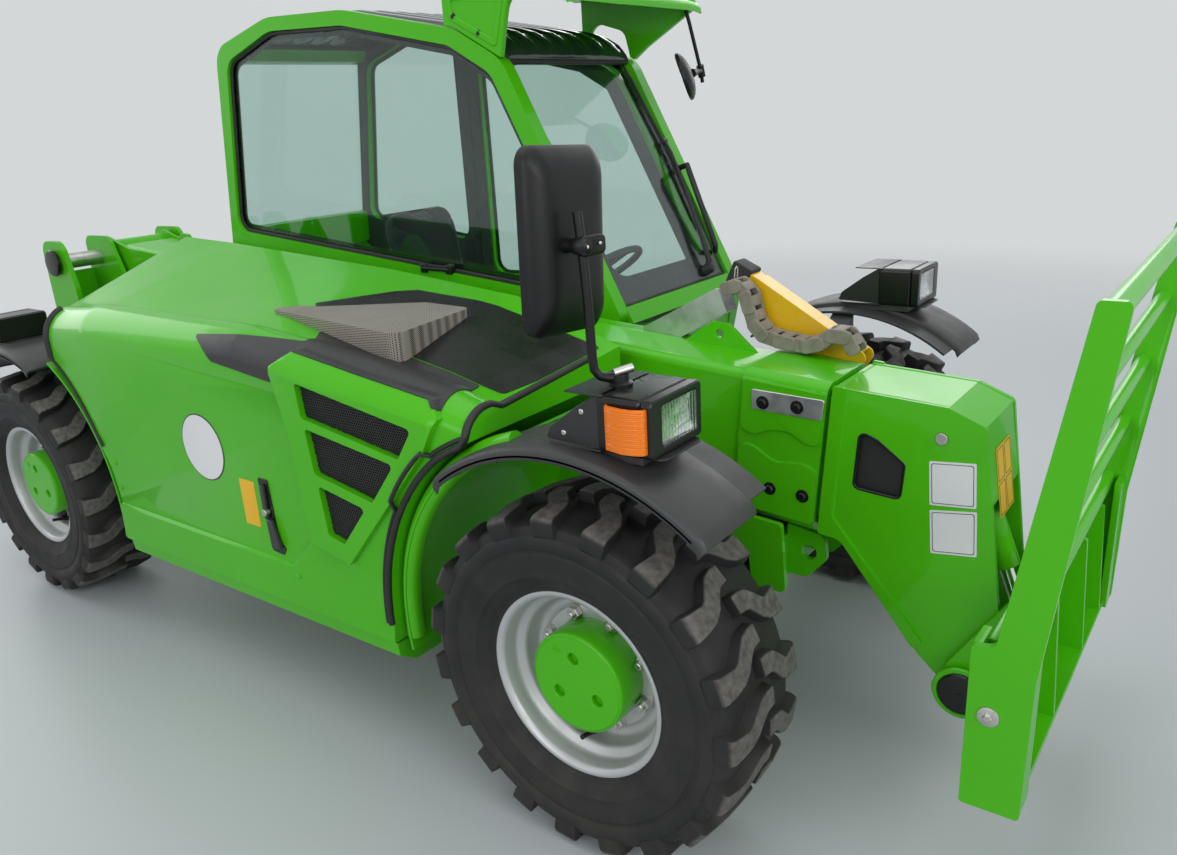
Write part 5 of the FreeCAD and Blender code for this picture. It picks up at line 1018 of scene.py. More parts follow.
def on_side(name, outline, y, rise, finish, body="engine_cover", edge=0.0006):
    """A plate on an upright panel that faces the engine side: its outline is (ahead, height), its back lies at y
    and its face stands out by rise."""
    flat = np.asarray(outline, float)
    return piece_from(name, [upright([flat], rise, y, edge)], body, finish)


on_side("sign_rim", circle(-1.330, 0.742, 0.101, 72), PANEL_Y, 0.0012, SATIN_BLACK)
on_side("sign_face", circle(-1.330, 0.742, 0.0975, 72), PANEL_Y, 0.0020, WHITE_SHEET)
on_side("panel_plate", box_outline(-1.142, 0.607, 0.068, 0.138), PANEL_Y, 0.0008, YELLOW_SHEET)
slot_edge = rounded([(-1.082, 0.694, .004), (-1.040, 0.694, .004), (-1.028, 0.520, .01), (-1.004, 0.496, .008),
                     (-1.018, 0.474, .008), (-1.070, 0.478, .012)])
on_side("latch_slot", slot_edge, PANEL_Y, 0.003, SMOOTH_BLACK)
foot = rounded([(-1.056, 0.580, .006), (-1.036, 0.580, .006), (-1.012, 0.498, .008), (-1.050, 0.490, .01)])
latch = [upright([box_outline(-1.060, 0.628, 0.016, 0.100, 0.006)], 0.010, PANEL_Y - 0.003, 0.002),
         upright([foot], 0.014, PANEL_Y - 0.003, 0.003)]
piece_from("latch_lever", latch, "engine_cover", GRAINED)
lock = turned([(0, 0), (0, 0.010), (0.014, 0.010), (0.0155, 0.0085), (0.0155, 0)], ahead(-1.054, -0.856, 0.600),
              -ACROSS, 24)
piece_from("latch_lock", [lock], "engine_cover", ZINC)
screw = [(0, 0), (0, 0.009), (0.002, 0.0088), (0.0045, 0.005), (0.005, 0)]
screws = [turned(screw, ahead(*place), -ACROSS, 20)
          for place in ((-1.872, PANEL_Y, 0.600), (-1.868, PANEL_Y, 0.515), (-0.955, -0.862, 0.430))]
piece_from("panel_screws", screws, "engine_cover", GREEN)
print("sign, plate, latch")

# %% [markdown]
# ## The air intake's perforated hood
# The hood over the fan is pale brown sheet, punched with holes five millimetres apart. At that size holes are a
# texture, so its finish draws them: the product of two cosines, one of x and one of y + z, has its peaks on a
# square lattice on the top and on the sides alike, and a threshold makes them round dark dots. The pattern of holes
# is real; the dark colour of each dot is painted shade from behind the sheet.

# %% Perforated finish
HOOD = finish_for("perforated_hood", (0.36, 0.325, 0.275), (0.30, 0.27, 0.23), (0.48, 0.62), grain=900.0,
                  relief=0.05)
tree = HOOD.node_tree
shader = tree.nodes["Principled BSDF"]
sheet = shader.inputs["Base Color"].links[0].from_socket
split = add(tree, "ShaderNodeSeparateXYZ", Vector=tree.nodes["Texture Coordinate"].outputs["Object"])
across = add(tree, "ShaderNodeMath", operation="ADD")
link(tree, split.outputs["Y"], across.inputs[0])
link(tree, split.outputs["Z"], across.inputs[1])
waves = []
for socket in (split.outputs["X"], across.outputs[0]):
    turn = add(tree, "ShaderNodeMath", operation="MULTIPLY")
    turn.inputs[1].default_value = 2 * math.pi / 0.0062
    link(tree, socket, turn.inputs[0])
    wave = add(tree, "ShaderNodeMath", operation="COSINE")
    link(tree, turn.outputs[0], wave.inputs[0])
    waves.append(wave)
both = add(tree, "ShaderNodeMath", operation="ADD")
link(tree, waves[0].outputs[0], both.inputs[0])
link(tree, waves[1].outputs[0], both.inputs[1])
# The dark colour mixed in at the dots is painted shade: the shadowed space behind the sheet, seen through each
# hole.
hole_shade = add(tree, "ShaderNodeMapRange", Value=both.outputs[0])
hole_shade.inputs["From Min"].default_value = 0.35
hole_shade.inputs["From Max"].default_value = 0.75
holes = add(tree, "ShaderNodeMix", data_type="RGBA")
link(tree, hole_shade.outputs["Result"], holes.inputs["Factor"])
link(tree, sheet, holes.inputs["A"])
holes.inputs["B"].default_value = (0.03, 0.027, 0.024, 1.0)
link(tree, holes.outputs["Result"], shader.inputs["Base Color"])
pieces["air_intake"].data.materials[0] = HOOD
print("hood finish")

# %% [markdown]
# ## Wheel guards with rolled edges
# The guards are moulded plastic: a gently crowned band that thickens to a rolled lip at both sides and at both
# ends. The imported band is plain, so a skin lies over it: a profile across the guard carried round the axle.

# %% Guard skins
GUARD_TOP = {"front": (0.545, 50.0, 130.0), "rear": (0.515, 65.0, 130.0)}
GUARD_PROFILE = np.array([
    (-0.000, -0.020), (-0.003, -0.022), (-0.006, -0.018), (-0.006, -0.006), (-0.003, 0.001), (0.004, 0.0045),
    (0.040, 0.0065), (0.090, 0.0075), (0.150, 0.0065), (0.196, 0.0045), (0.205, 0.001), (0.207, -0.006),
    (0.207, -0.014), (0.203, -0.016), (0.199, -0.012), (0.196, -0.004), (0.150, -0.001), (0.090, 0.0),
    (0.040, -0.001), (0.004, -0.004), (0.000, -0.010),
])


def guard_skin(name, x, side, radius, start, end):
    """Across the guard the profile gives inset from the outer edge and height over the band; a point at angle t is
    x + (radius + height) cos t ahead and AXLE_Z + (radius + height) sin t up. The last two degrees at each end bend
    down by a few millimetres, which makes the lip there."""
    t = np.linspace(start, end, 46)
    bend = np.clip(1.0 - np.minimum(t - start, end - t) / 2.5, 0.0, 1.0) ** 2 * 0.010
    turn = np.radians(t)[:, None]
    reach = radius + GUARD_PROFILE[None, :, 1] - bend[:, None]
    y = np.broadcast_to(side * (0.894 - GUARD_PROFILE[None, :, 0]), reach.shape)
    points = np.stack([x + reach * np.cos(turn), y, AXLE_Z + reach * np.sin(turn)], -1)
    count = len(GUARD_PROFILE)
    faces = grid_faces(46, count, close_columns=True).tolist()
    faces += [list(range(count)), list(range(45 * count, 46 * count))]
    return piece_from(name, [(points.reshape(-1, 3), faces)], "root", GRAINED, 50.0)


for corner, x, side in CORNERS:
    radius, start, end = GUARD_TOP[corner.split("_")[0]]
    guard_skin("guard_skin_" + corner, x, side, radius, start, end)
print("guard skins:", len(CORNERS))

# %% [markdown]
# ## Lamps
# Each front lamp is a black box with a clear ribbed glass in front of a bright reflector, and an amber turn
# lens of two facets on its outer side. A cranked bracket of black sheet holds it, with zinc bolts. The rear
# lamps are the same box with a red glass. The reflector is a paraboloid over a rectangle.

# %% Lamp parts
REFLECTOR = finish_for("reflector", (0.92, 0.92, 0.90), (0.84, 0.84, 0.82), (0.05, 0.12), grain=200.0, relief=0.03,
                       edge=0.0, metal=1.0)
LAMP_Y = 0.762
CHEEK_BOLT = ((0, 0), (0, 0.0085), (0.0015, 0.0085), (0.0015, 0.006), (0.005, 0.006), (0.0065, 0.004), (0.0065, 0))
FOOT_BOLT = ((0, 0), (0, 0.011), (0.0015, 0.011), (0.0015, 0.007), (0.005, 0.0065), (0.0065, 0.004), (0.0065, 0))
RED = clear_finish("red_lens", (0.80, 0.02, 0.01), (0.7, 0.05, 0.03), 0.08)


def ribbed(name, path, low, high, pitch, rise, body, finish, thick=0.003):
    """A moulded lens: a plan path (x, y) carried up from low to high, pushed out by rise * |cos| of the height over
    the pitch, which leaves round ribs."""
    path = np.asarray(path, float)
    z = np.linspace(low, high, 73)
    along = np.gradient(path, axis=0)
    out = np.stack([along[:, 1], -along[:, 0]], -1)
    out /= np.linalg.norm(out, axis=1)[:, None]
    push = rise * np.abs(np.cos(np.pi * (z - low) / pitch))
    push[[0, -1]] = -thick
    flat = path[None] + push[:, None, None] * out[None]
    points = np.concatenate([flat, np.broadcast_to(z[:, None, None], (73, len(path), 1))], -1)
    piece = piece_from(name, [(points.reshape(-1, 3), grid_faces(73, len(path)))], body, finish, 60.0)
    walled(piece, thick)
    return piece


def lamp_set(name, x, y, z, side, width, height, length, lens):
    """A lamp whose front face looks along +X (length > 0) or -X: bezel with an opening, box, reflector, glass."""
    ahead_way = 1.0 if length > 0 else -1.0
    size = abs(length)
    along, up = np.array([0.0, ahead_way, 0.0]), np.array([0.0, 0.0, 1.0])
    frame_outline = box_outline(0.0, 0.0, width, height, 0.012, 5)
    opening = box_outline(-ahead_way * side * 0.010, 0.002, width - 0.058, height - 0.034, 0.008, 4)
    front = np.array([x, y, z])
    parts = [plate([frame_outline, opening], 0.024, front - ahead_way * np.array([0.024, 0, 0]), along, up, 0.003),
             plate([frame_outline], size - 0.026, front - ahead_way * np.array([size, 0, 0]), along, up, 0.005)]
    piece_from(name + "_box", parts, "root", SMOOTH_BLACK)
    a, b = np.meshgrid(np.linspace(-1, 1, 21), np.linspace(-1, 1, 15), indexing="ij")
    bowl = 0.013 * (1 - 0.5 * (a ** 2 + b ** 2))
    middle = -ahead_way * side * 0.010
    points = np.stack([front[0] - ahead_way * (0.007 + bowl), front[1] + ahead_way *
                       (middle + a * (width / 2 - 0.028)), front[2] + 0.002 + b * (height / 2 - 0.016)], -1)
    piece_from(name + "_reflector", [(points.reshape(-1, 3), grid_faces(21, 15))], "root", REFLECTOR, 70.0)
    glass = plate([opening], 0.004, front - ahead_way * np.array([0.005, 0, 0]), along, up, 0.001)
    ribs = [tube([front + np.array([0.0, ahead_way * (middle + v), -height / 2 + 0.019]),
                  front + np.array([0.0, ahead_way * (middle + v), height / 2 - 0.015])], 0.0009, 8)
            for v in np.linspace(-width / 2 + 0.036, width / 2 - 0.036, 12)]
    piece_from(name + "_glass", [glass], "root", lens)
    piece_from(name + "_ribs", ribs, "root", lens, 60.0)


# %% Front and rear lamps
for name, side in (("right", -1), ("left", 1)):
    x = FRONT_AXLE_X + 0.212
    lamp_set("lamp_front_" + name, x, side * LAMP_Y, 1.022, side, 0.188, 0.116, 0.125, LENS)
    lamp_set("lamp_rear_" + name, REAR_AXLE_X - 0.176, side * LAMP_Y, 0.980, side, 0.180, 0.088, -0.120, RED)
    bend = [(x - 0.100, side * 0.8565), (x - 0.094, side * 0.868), (x - 0.074, side * 0.872),
            (x - 0.052, side * 0.876), (x - 0.030, side * 0.8725), (x - 0.014, side * 0.866),
            (x - 0.010, side * 0.8565)]
    ribbed("indicator_" + name, bend if side < 0 else bend[::-1], 0.978, 1.066, 0.0042, 0.0010, "root", AMBER)
    cheek = rounded([(-0.044, 0.973, 0.004), (-0.034, 0.998, 0.02), (0.034, 1.048, 0.02), (0.080, 1.076, 0.006),
                     (0.092, 1.076, 0.004), (0.092, 0.968, 0.004)])
    parts = [upright([cheek], 0.004, side * y, 0.0008) for y in (0.846, 0.678)]
    parts.append(level([box_outline(0.028, 0.0, 0.128, 0.186, 0.006, 5)], 0.004, ahead(0, side * LAMP_Y, 0.964)))
    parts.append(level([box_outline(0.055, 0.0, 0.090, 0.186, 0.004, 5)], 0.003, ahead(0, side * LAMP_Y, 1.077)))
    parts.append(level([box_outline(0.0, 0.0, 0.17, 0.17, 0.01)], 0.005,
                       (REAR_AXLE_X - 0.09, side * LAMP_Y, 0.9335), 0.001))
    piece_from("lamp_bracket_" + name, parts, "root", SATIN_BLACK)
    cheek_y = side * (0.850 if side > 0 else 0.8465)
    heads = [turned(CHEEK_BOLT, ahead(a, cheek_y, z), (0, side, 0), 16) for a,
             z in ((0.048, 1.040), (0.002, 0.990))]
    heads += [turned(FOOT_BOLT, ahead(a, side * LAMP_Y + b, z), UP, 16)
              for a, b, z in ((0.150, -0.075, 0.966), (0.200, 0.060, 0.958))]
    piece_from("lamp_bolts_" + name, heads, "root", ZINC)
lamp_feet = [level([box_outline(0.168, 0.0, 0.120, 0.150, 0.02)], 0.004, ahead(0, y, 0.960), 0.001)
             for y in (-LAMP_Y, LAMP_Y)]
lamps_base = piece_from("lamp_feet", lamp_feet, "root", SATIN_BLACK)
stand_for(lamps_base, "lamp_boxes")
print("lamps:", 4)

# %% [markdown]
# ## The engine-side mirror
# Its housing is a tall rounded shell, nearly flat with a soft edge. On a grid of rings the outline shrinks to
# its middle while the depth rises as 1 - s to the sixth power, so the face stays flat and the rim turns quickly.
# A round stem passes in front of it, carries a ball clamp with two bolts, and bends into its foot on the lamp.

# %% Mirror
MIRROR_BLACK = finish_for("mirror_black", (0.004, 0.004, 0.0045), (0.006, 0.006, 0.0065), (0.34, 0.46), grain=900.0,
                          relief=0.10, level=0.35)
MIRROR_GLASS = finish_for("mirror_glass", (0.82, 0.84, 0.85), (0.80, 0.82, 0.83), (0.01, 0.02), grain=50.0,
                          relief=0.0, edge=0.0, metal=1.0)
edge_line = rounded([(-0.884, 1.181, 0.036), (-0.652, 1.163, 0.036), (-0.634, 1.529, 0.036),
                     (-0.872, 1.541, 0.036)], 8)
centre = edge_line.mean(0)
s = np.concatenate([[0.985, 1.0, 1.0], np.linspace(0.995, 0.0, 22) ** 0.8])
depth = np.concatenate([[-0.022, -0.020, -0.004], 0.034 * (1 - np.linspace(0.995, 0.0, 22) ** 4.8)])
rings = centre + s[:, None, None] * (edge_line - centre)
shell = np.concatenate([np.broadcast_to((1.030 + depth)[:, None, None], (len(s), len(edge_line), 1)), rings], -1)
faces = grid_faces(len(s), len(edge_line), close_columns=True).tolist() + [list(range(len(edge_line)))]
housing = piece_from("mirror_housing", [(shell.reshape(-1, 3), faces)], "root", MIRROR_BLACK, 40.0, 1e-5)
stem_path = np.array([(1.094, -0.800, 1.416), (1.101, -0.800, 1.350), (1.108, -0.800, 1.235),
                      (1.111, -0.800, 1.135), (1.113, -0.798, 1.112), (1.122, -0.792, 1.098),
                      (1.140, -0.784, 1.094), (1.162, -0.775, 1.098)])
stem = [tube(stem_path, 0.0095, 16)]
ball = turned([(-0.022, 0), (-0.020, 0.009), (-0.013, 0.016), (0.0, 0.020), (0.013, 0.016), (0.024, 0.013),
               (0.058, 0.020), (0.066, 0.024), (0.070, 0.0)], (1.100, -0.800, 1.352), (-1, 0.02, 0), 24)
yoke = plate([rounded([(-0.012, -0.020, .01), (0.052, -0.018, .01), (0.052, 0.018, .01), (-0.012, 0.020, .01)])],
             0.018, (1.098, -0.800, 1.352), (0.15, 1.0, 0.0), (0.0, 0.0, 1.0), 0.003)
foot = turned([(0, 0), (0, 0.024), (0.006, 0.024), (0.010, 0.016), (0.022, 0.015), (0.022, 0)],
              (1.160, -0.775, 1.080), (0, 0, 1), 24)
piece_from("mirror_stem_arm", stem + [ball, yoke, foot], "root", MIRROR_BLACK, 50.0)
bolts = [turned([(0, 0), (0, 0.0035), (0.003, 0.003), (0.0035, 0)], place, (0.8, -0.6, 0), 12)
         for place in ((1.118, -0.806, 1.352), (1.122, -0.770, 1.355))]
bolts.append(tube([(1.150, -0.786, 1.106), (1.172, -0.752, 1.112)], 0.009, 14))
piece_from("mirror_bolts", bolts, "root", ZINC)
pane = plate([centre + 0.93 * (edge_line - centre)], 0.003, (1.0065, 0.0, 0.0), ACROSS, UP, 0.0005)
piece_from("mirror_pane", [pane], "root", MIRROR_GLASS)
stand_for(housing, "mirror_right")
print("mirror housing points:", len(housing.data.vertices))

# %% [markdown]
# ## The head of the boom
# The head is a welded box with a window in each side, so that the tilt ram can be reached. The inside of the box
# lies in shade, so a black sheet behind a rubber lip closes each window: its dark colour is painted shade. Two
# blank white plates and a yellow one sit where the driver reads them. At the boom's collar a bright strip is bolted
# over the wear pad.

# %% Head and collar trim

HEAD_SIDE = -0.200
window = in_metres([(3276, -30, 16), (3322, -44, 12), (3392, -88, 14), (3392, -178, 16), (3276, -178, 16)])
# A black sheet inside each side of the head: painted shade where the inside of the box shows through the window.
shade_sheets = [boom_plate([inset(window, -0.006)], 0.004, y) for y in (-0.178, 0.054)]
piece_from("head_shade_sheet", shade_sheets, "boom_stage", GASKET)
lips = [boom_plate([inset(window, -0.002), inset(window, 0.005)], 0.010, -0.1915, 0.002)]
piece_from("head_window_lip", lips, "boom_stage", SMOOTH_BLACK)
for name, corners in (("upper", [(527, 805, 3), (629, 815, 3), (636, 709, 3), (534, 699, 3)]),
                      ("lower", [(535, 687, 3), (638, 702, 3), (645, 593, 3), (543, 580, 3)])):
    sheet = in_metres(corners)
    quad = np.array(corners)[:, :2] / 1000.0
    piece_from("head_plate_" + name, [upright([sheet], 0.0009, HEAD_SIDE, 0.0003)], "boom_stage", WHITE_SHEET)
    piece_from("head_plate_" + name + "_line", [upright([round_quad(quad, 0.0050), round_quad(quad, 0.0064)],
                                                        0.0005, HEAD_SIDE - 0.0009, 0.0001)], "boom_stage", GASKET)
face_out = np.array([0.990, 0.0, 0.140])
face_up = np.array([-0.140, 0.0, 0.990])
front_sheet = box_outline(0.0, -0.0825, 0.120, 0.165)
start = ahead(0.651, -0.082, 0.834) + 0.001 * face_out
piece_from("head_front_plate", [plate([front_sheet], 0.0012, start, ACROSS, face_up, 0.0003)], "boom_stage",
           YELLOW_SHEET)
frames = [plate([inset(box_outline(a, b, 0.054, 0.078, 0.003, 3), border) for border in (0.002, 0.0034)], 0.0005,
                start + 0.0012 * face_out, ACROSS, face_up, 0.0001) for a in (-0.030, 0.030) for b in
          (-0.042, -0.123)]
piece_from("head_front_plate_lines", frames, "boom_stage", GASKET)


strip = in_metres([(3000, 19, 5), (3190, 28, 5), (3186, -25, 5), (3004, -32, 5)])
piece_from("collar_strip", [boom_plate([strip], 0.004, -0.209, 0.0012)], "boom", ALUMINIUM)
bolts = []
for u, w, y in ((3033, -10, -0.213), (3123, -3, -0.213), (3069, -233, -0.209), (3157, -230, -0.209)):
    bolts += bolt_on(on_boom(u / 1000, y, w / 1000), -ACROSS)
piece_from("collar_bolts", bolts, "boom", SMOOTH_BLACK)
washer = turned([(0, 0), (0, 0.021), (0.003, 0.0205), (0.0045, 0.016), (0.0045, 0.006), (0.0065, 0.005),
                 (0.0065, 0)], ahead(0.782, -0.600, 0.464), -ACROSS, 40)
piece_from("carriage_side_bolt", [washer] + bolt_on(ahead(0.782, -0.602, 0.464), -ACROSS, 0.009, 0.008), "carriage",
           ZINC)
pin_end = ahead(0.645, -0.240, 0.262)
ring_profile = [(-0.002, 0.036), (-0.002, 0.064), (0.006, 0.066), (0.010, 0.063), (0.010, 0.054), (0.006, 0.052),
                (0.006, 0.036), (-0.002, 0.036)]
piece_from("carriage_pin_ring", [turned(ring_profile, pin_end, -ACROSS, 64)], "carriage", GREEN)
cap = [turned([(0, 0), (0, 0.050), (0.010, 0.052), (0.015, 0.049), (0.0165, 0.040), (0.017, 0)], pin_end, -ACROSS,
              64), turned([(0.014, 0), (0.014, 0.006), (0.020, 0.0055), (0.020, 0)], pin_end, -ACROSS, 16)]
piece_from("carriage_pin_cap", cap, "carriage", SMOOTH_BLACK)
pivot_end = ahead(-2.900, -0.432, 1.140)
cap = [turned([(-0.004, 0), (-0.004, 0.050), (0.004, 0.053), (0.010, 0.050), (0.012, 0.040), (0.0125, 0)],
              pivot_end, -ACROSS, 64)]
piece_from("pivot_pin_cap", cap, "root", SMOOTH_BLACK)
print("head, collar and pins:", len(bolts) // 2, "bolts")

# %% [markdown]
# ## Window rubbers
# Every pane is bonded in, and the maker prints a black border on it and hides the bond with a rubber lip. Without
# them a pane looks like a hole cut in sheet steel. The windscreen's border is widest along its foot.

# %% Window rubbers
CAB_OPENING = [(-2398, 1215, 60), (-2290, 1852, 80), (-2010, 1938, 200), (-1610, 1920, 200), (-1120, 1816, 110),
               (-952, 1722, 100), (-622, 1090, 50), (-700, 1046, 60), (-860, 1062, 60)]
DOOR_EDGE = [(-1700, 545, 50), (-1700, 1888, 50), (-1590, 1902, 120), (-1130, 1802, 110), (-972, 1712, 100),
             (-568, 950, 60), (-690, 545, 60)]
DOOR_OPENING = [(-1640, 960, 60), (-1640, 1834, 40), (-1560, 1842, 30), (-1155, 1748, 60), (-1016, 1670, 60),
                (-640, 958, 50)]
QUARTER_OPENING = [(-2385, 1190, 50), (-2290, 1845, 70), (-2010, 1930, 200), (-1765, 1916, 40), (-1765, 1100, 50)]
engine_side_pane, door_pane, quarter_pane = (in_metres(c) for c in (CAB_OPENING, DOOR_OPENING, QUARTER_OPENING))
rubbers = []
for outline, y, depth in ((engine_side_pane, 0.1215, 0.010), (quarter_pane, 0.848, 0.0095)):
    rubbers.append(upright([inset(outline, -0.001), inset(outline, 0.013)], depth, y, 0.003))
piece_from("side_rubbers", rubbers, "root", GASKET)
piece_from("side_border", [upright([inset(engine_side_pane, 0.001), inset(engine_side_pane, 0.030)], 0.002, 0.1325,
                                   0.0005)], "root", SMOOTH_BLACK)
SCREEN = np.array([(-0.965, 1.790), (-0.742, 1.424), (-0.528, 1.000)])


def on_screen(along, y, out):
    """A place on the windscreen: a share from 0 at its top to 1 at its foot, y, and a distance outwards."""
    s = np.clip(np.asarray(along, float) * 2.0, 0.0, 1.9999)
    k = s.astype(int)
    flat = SCREEN[k] + (s - k)[..., None] * (SCREEN[k + 1] - SCREEN[k])
    return np.stack([FRONT_AXLE_X + flat[..., 0] + 0.875 * out, y + 0.0 * s, flat[..., 1] + 0.484 * out], -1)


def dense(outline, step=0.03):
    """The same outline with no side longer than a step."""
    out = []
    for a, b in zip(outline, np.roll(outline, -1, 0)):
        count = max(1, int(np.ceil(np.linalg.norm(b - a) / step)))
        out += [a + (b - a) * k / count for k in range(count)]
    return np.array(out)


outer = dense(rounded([(0.012, 0.153, .02), (0.985, 0.153, .02), (0.985, 0.807, .02), (0.012, 0.807, .02)]))
inner = dense(rounded([(0.055, 0.178, .05), (0.890, 0.200, .07), (0.890, 0.768, .07), (0.055, 0.782, .05)]))
flat, faces = plate([outer, inner], 0.0024, (0.0, 0.0, 0.0), (1, 0, 0), (0, 1, 0), 0.0005)
points = on_screen(flat[:, 0], flat[:, 1], -0.012 + flat[:, 2])
piece_from("windscreen_border", [(points, faces)], "root", SMOOTH_BLACK)
share = np.linspace(0.01, 0.985, 24)
lips = [tube(on_screen(share, y, 0.002), 0.0055, 10) for y in (0.1535, 0.8065)]
lips.append(tube(on_screen(np.full(16, 0.985), np.linspace(0.156, 0.804, 16), 0.002), 0.0055, 10))
piece_from("windscreen_lips", lips, "root", GASKET)
door_rubber = upright([inset(door_pane, -0.001), inset(door_pane, 0.013)], 0.0095, 0.848, 0.003)
piece_from("door_rubber", [door_rubber], "cab_door", GASKET)
print("window rubbers and borders laid")

# %% [markdown]
# ## Inside the cab
# Grained dark trim lines the door, the quarter and the tail of the cab, so that hardly any paint shows inside. The
# machine's controls are a lever on the console and a stalk on the column. A grab handle hangs on the far pillar.

# %% Cab lining and controls
HEADLINER = finish_for("headliner", (0.030, 0.030, 0.033), (0.046, 0.045, 0.048), (0.7, 0.9), patch=8.0,
                       grain=700.0, relief=0.45, grain_size=0.0006)
door_edge = inset(in_metres(DOOR_EDGE), 0.006)
piece_from("door_lining", [upright([door_edge, inset(door_pane, -0.002)], 0.004, 0.8085, 0.0015)], "cab_door",
           HEADLINER)
shell = in_metres([(-2452, 1092, 30), (-2340, 1896, 95), (-2010, 1972, 300), (-1780, 1966, 20), (-1698, 1952, 10),
                   (-1698, 556, 20), (-1830, 548, 40)])
piece_from("quarter_lining", [upright([shell, inset(quarter_pane, -0.002)], 0.004, 0.8085, 0.0015)], "root",
           HEADLINER)
deep = in_metres([(-2418, 1135, 40), (-2330, 1150, 30), (-1980, 1150, 60), (-1840, 1040, 60), (-1790, 800, 60),
                  (-1790, 560, 30), (-1840, 548, 30)])
piece_from("tail_lining", [upright([deep], 0.004, 0.806, 0.0015), upright([deep], 0.004, 0.156, 0.0015)], "root",
           HEADLINER)
lever = tube([ahead(-1.26, 0.215, 0.80), ahead(-1.25, 0.215, 0.90), ahead(-1.235, 0.22, 0.985)],
             [0.008, 0.008, 0.010], 14)
knob = turned([(-0.05, 0), (-0.045, 0.017), (-0.01, 0.023), (0.03, 0.025), (0.052, 0.020), (0.06, 0.008),
               (0.06, 0)], ahead(-1.225, 0.222, 1.03), (0.2, 0.03, 1.0), 28)
boot = turned([(0, 0.055), (0.010, 0.052), (0.018, 0.036), (0.026, 0.034), (0.034, 0.024), (0.042, 0.022),
               (0.052, 0.013), (0.060, 0.010), (0.060, 0), (0, 0)], ahead(-1.262, 0.215, 0.822), (0.05, 0, 1), 32)
piece_from("joystick", [lever, knob, boot], "root", SMOOTH_BLACK)
stalk = tube([ahead(-0.80, 0.47, 0.96), ahead(-0.80, 0.40, 0.985), ahead(-0.79, 0.33, 1.03),
              ahead(-0.785, 0.30, 1.06)], [0.006, 0.006, 0.009, 0.010], 12)
piece_from("column_stalk", [stalk], "root", SMOOTH_BLACK)
handle = tube([ahead(-0.700, 0.800, 1.385), ahead(-0.655, 0.775, 1.395), ahead(-0.640, 0.765, 1.370),
               ahead(-0.600, 0.765, 1.270), ahead(-0.560, 0.765, 1.170), ahead(-0.545, 0.772, 1.120),
               ahead(-0.560, 0.800, 1.095)], 0.010, 14)
piece_from("grab_handle", [handle], "root", GASKET)
u = np.linspace(0.0, 1.0, 30)
v = np.linspace(-1.0, 1.0, 40)
hood_x = -0.700 + 0.165 * u
hood_z = 0.905 + 0.115 * np.sin(np.pi * (0.15 + 0.85 * u)) ** 0.8
top = np.stack(np.broadcast_arrays(FRONT_AXLE_X + hood_x[:, None], 0.480 + 0.200 * v[None],
                                   hood_z[:, None] - 0.10 * np.abs(v[None]) ** 4), -1)
under = top - np.array([0.0, 0.0, 0.006])
dial = np.concatenate([top, under[::-1]])
hood = piece_from("dial_hood", [(dial.reshape(-1, 3), grid_faces(60, 40, close_rows=True).tolist() +
                                 [list(range(0, 60 * 40, 40)), list(range(39, 60 * 40, 40))])], "root",
                  SMOOTH_BLACK, 50.0)
print("lining, lever, stalk and handle")

# %% [markdown]
# ## Roof and guard
# The roof is a smoked panel with ribs that run back from the windscreen, so it is stiff without being thick. Over
# its front stands the guard: a pressed visor on two brackets. Each bracket narrows to a foot on the pillar. The one
# on the engine side has a raised frame pressed in it, the other a round-topped opening.

# %% Roof and guard
ROOF_LINE = np.array([(-2.262, 1.912), (-2.140, 1.949), (-2.010, 1.974), (-1.860, 1.976), (-1.600, 1.962),
                      (-1.350, 1.914), (-1.150, 1.876), (-1.060, 1.858), (-1.000, 1.842), (-0.955, 1.816),
                      (-0.926, 1.784), (-0.918, 1.758)])
SMOKED = finish_for("smoked_roof", (0.012, 0.022, 0.018), (0.018, 0.030, 0.025), (0.10, 0.20), patch=2.0,
                    grain=300.0, relief=0.01, edge=0.0, coat=0.6, coat_rough=0.03)
along = np.linspace(0.0, 1.0, 60)
knots = np.concatenate([[0.0], np.cumsum(np.linalg.norm(np.diff(ROOF_LINE, axis=0), axis=1))])
knots /= knots[-1]
roof_x = np.interp(along, knots, ROOF_LINE[:, 0])
roof_z = np.interp(along, knots, ROOF_LINE[:, 1])
across = np.linspace(-1.0, 1.0, 141)
fade = np.clip(np.minimum(along, 1.0 - along) * 9.0, 0.0, 1.0)
ribs = 0.5 + 0.5 * np.tanh(2.6 * np.cos(across * np.pi * 7.0))
rise = 0.010 * fade[:, None] * ribs[None] - 0.006 * np.abs(across[None]) ** 6
top = np.stack(np.broadcast_arrays(FRONT_AXLE_X + roof_x[:, None], 0.480 + 0.328 * across[None],
                                   roof_z[:, None] + rise), -1)
roof = piece_from("roof_panel", [(top.reshape(-1, 3), grid_faces(60, 141).tolist())], "root", SMOKED, 50.0)
walled(roof, 0.005)
stand_for(roof, "cab_roof")
edge = [tube(np.stack([FRONT_AXLE_X + roof_x, np.full(60, y), roof_z - 0.009], -1), 0.009, 10)
        for y in (0.151, 0.809)]
edge.append(tube([(FRONT_AXLE_X - 0.919, y, 1.754) for y in np.linspace(0.152, 0.808, 12)], 0.008, 10))
edge.append(tube([(FRONT_AXLE_X - 2.262, y, 1.908) for y in np.linspace(0.152, 0.808, 12)], 0.009, 10))
piece_from("roof_rubber", edge, "root", GASKET)
visor_line = rounded([(-1.172, 1.9915), (-0.700, 1.956, 0.080), (-0.640, 1.922, 0.030), (-0.636, 1.896, 0.0),
                      (-0.642, 1.896, 0.0), (-0.646, 1.918, 0.026), (-0.702, 1.950, 0.076), (-1.172, 1.9855)], 8)
x, z = visor_line.T
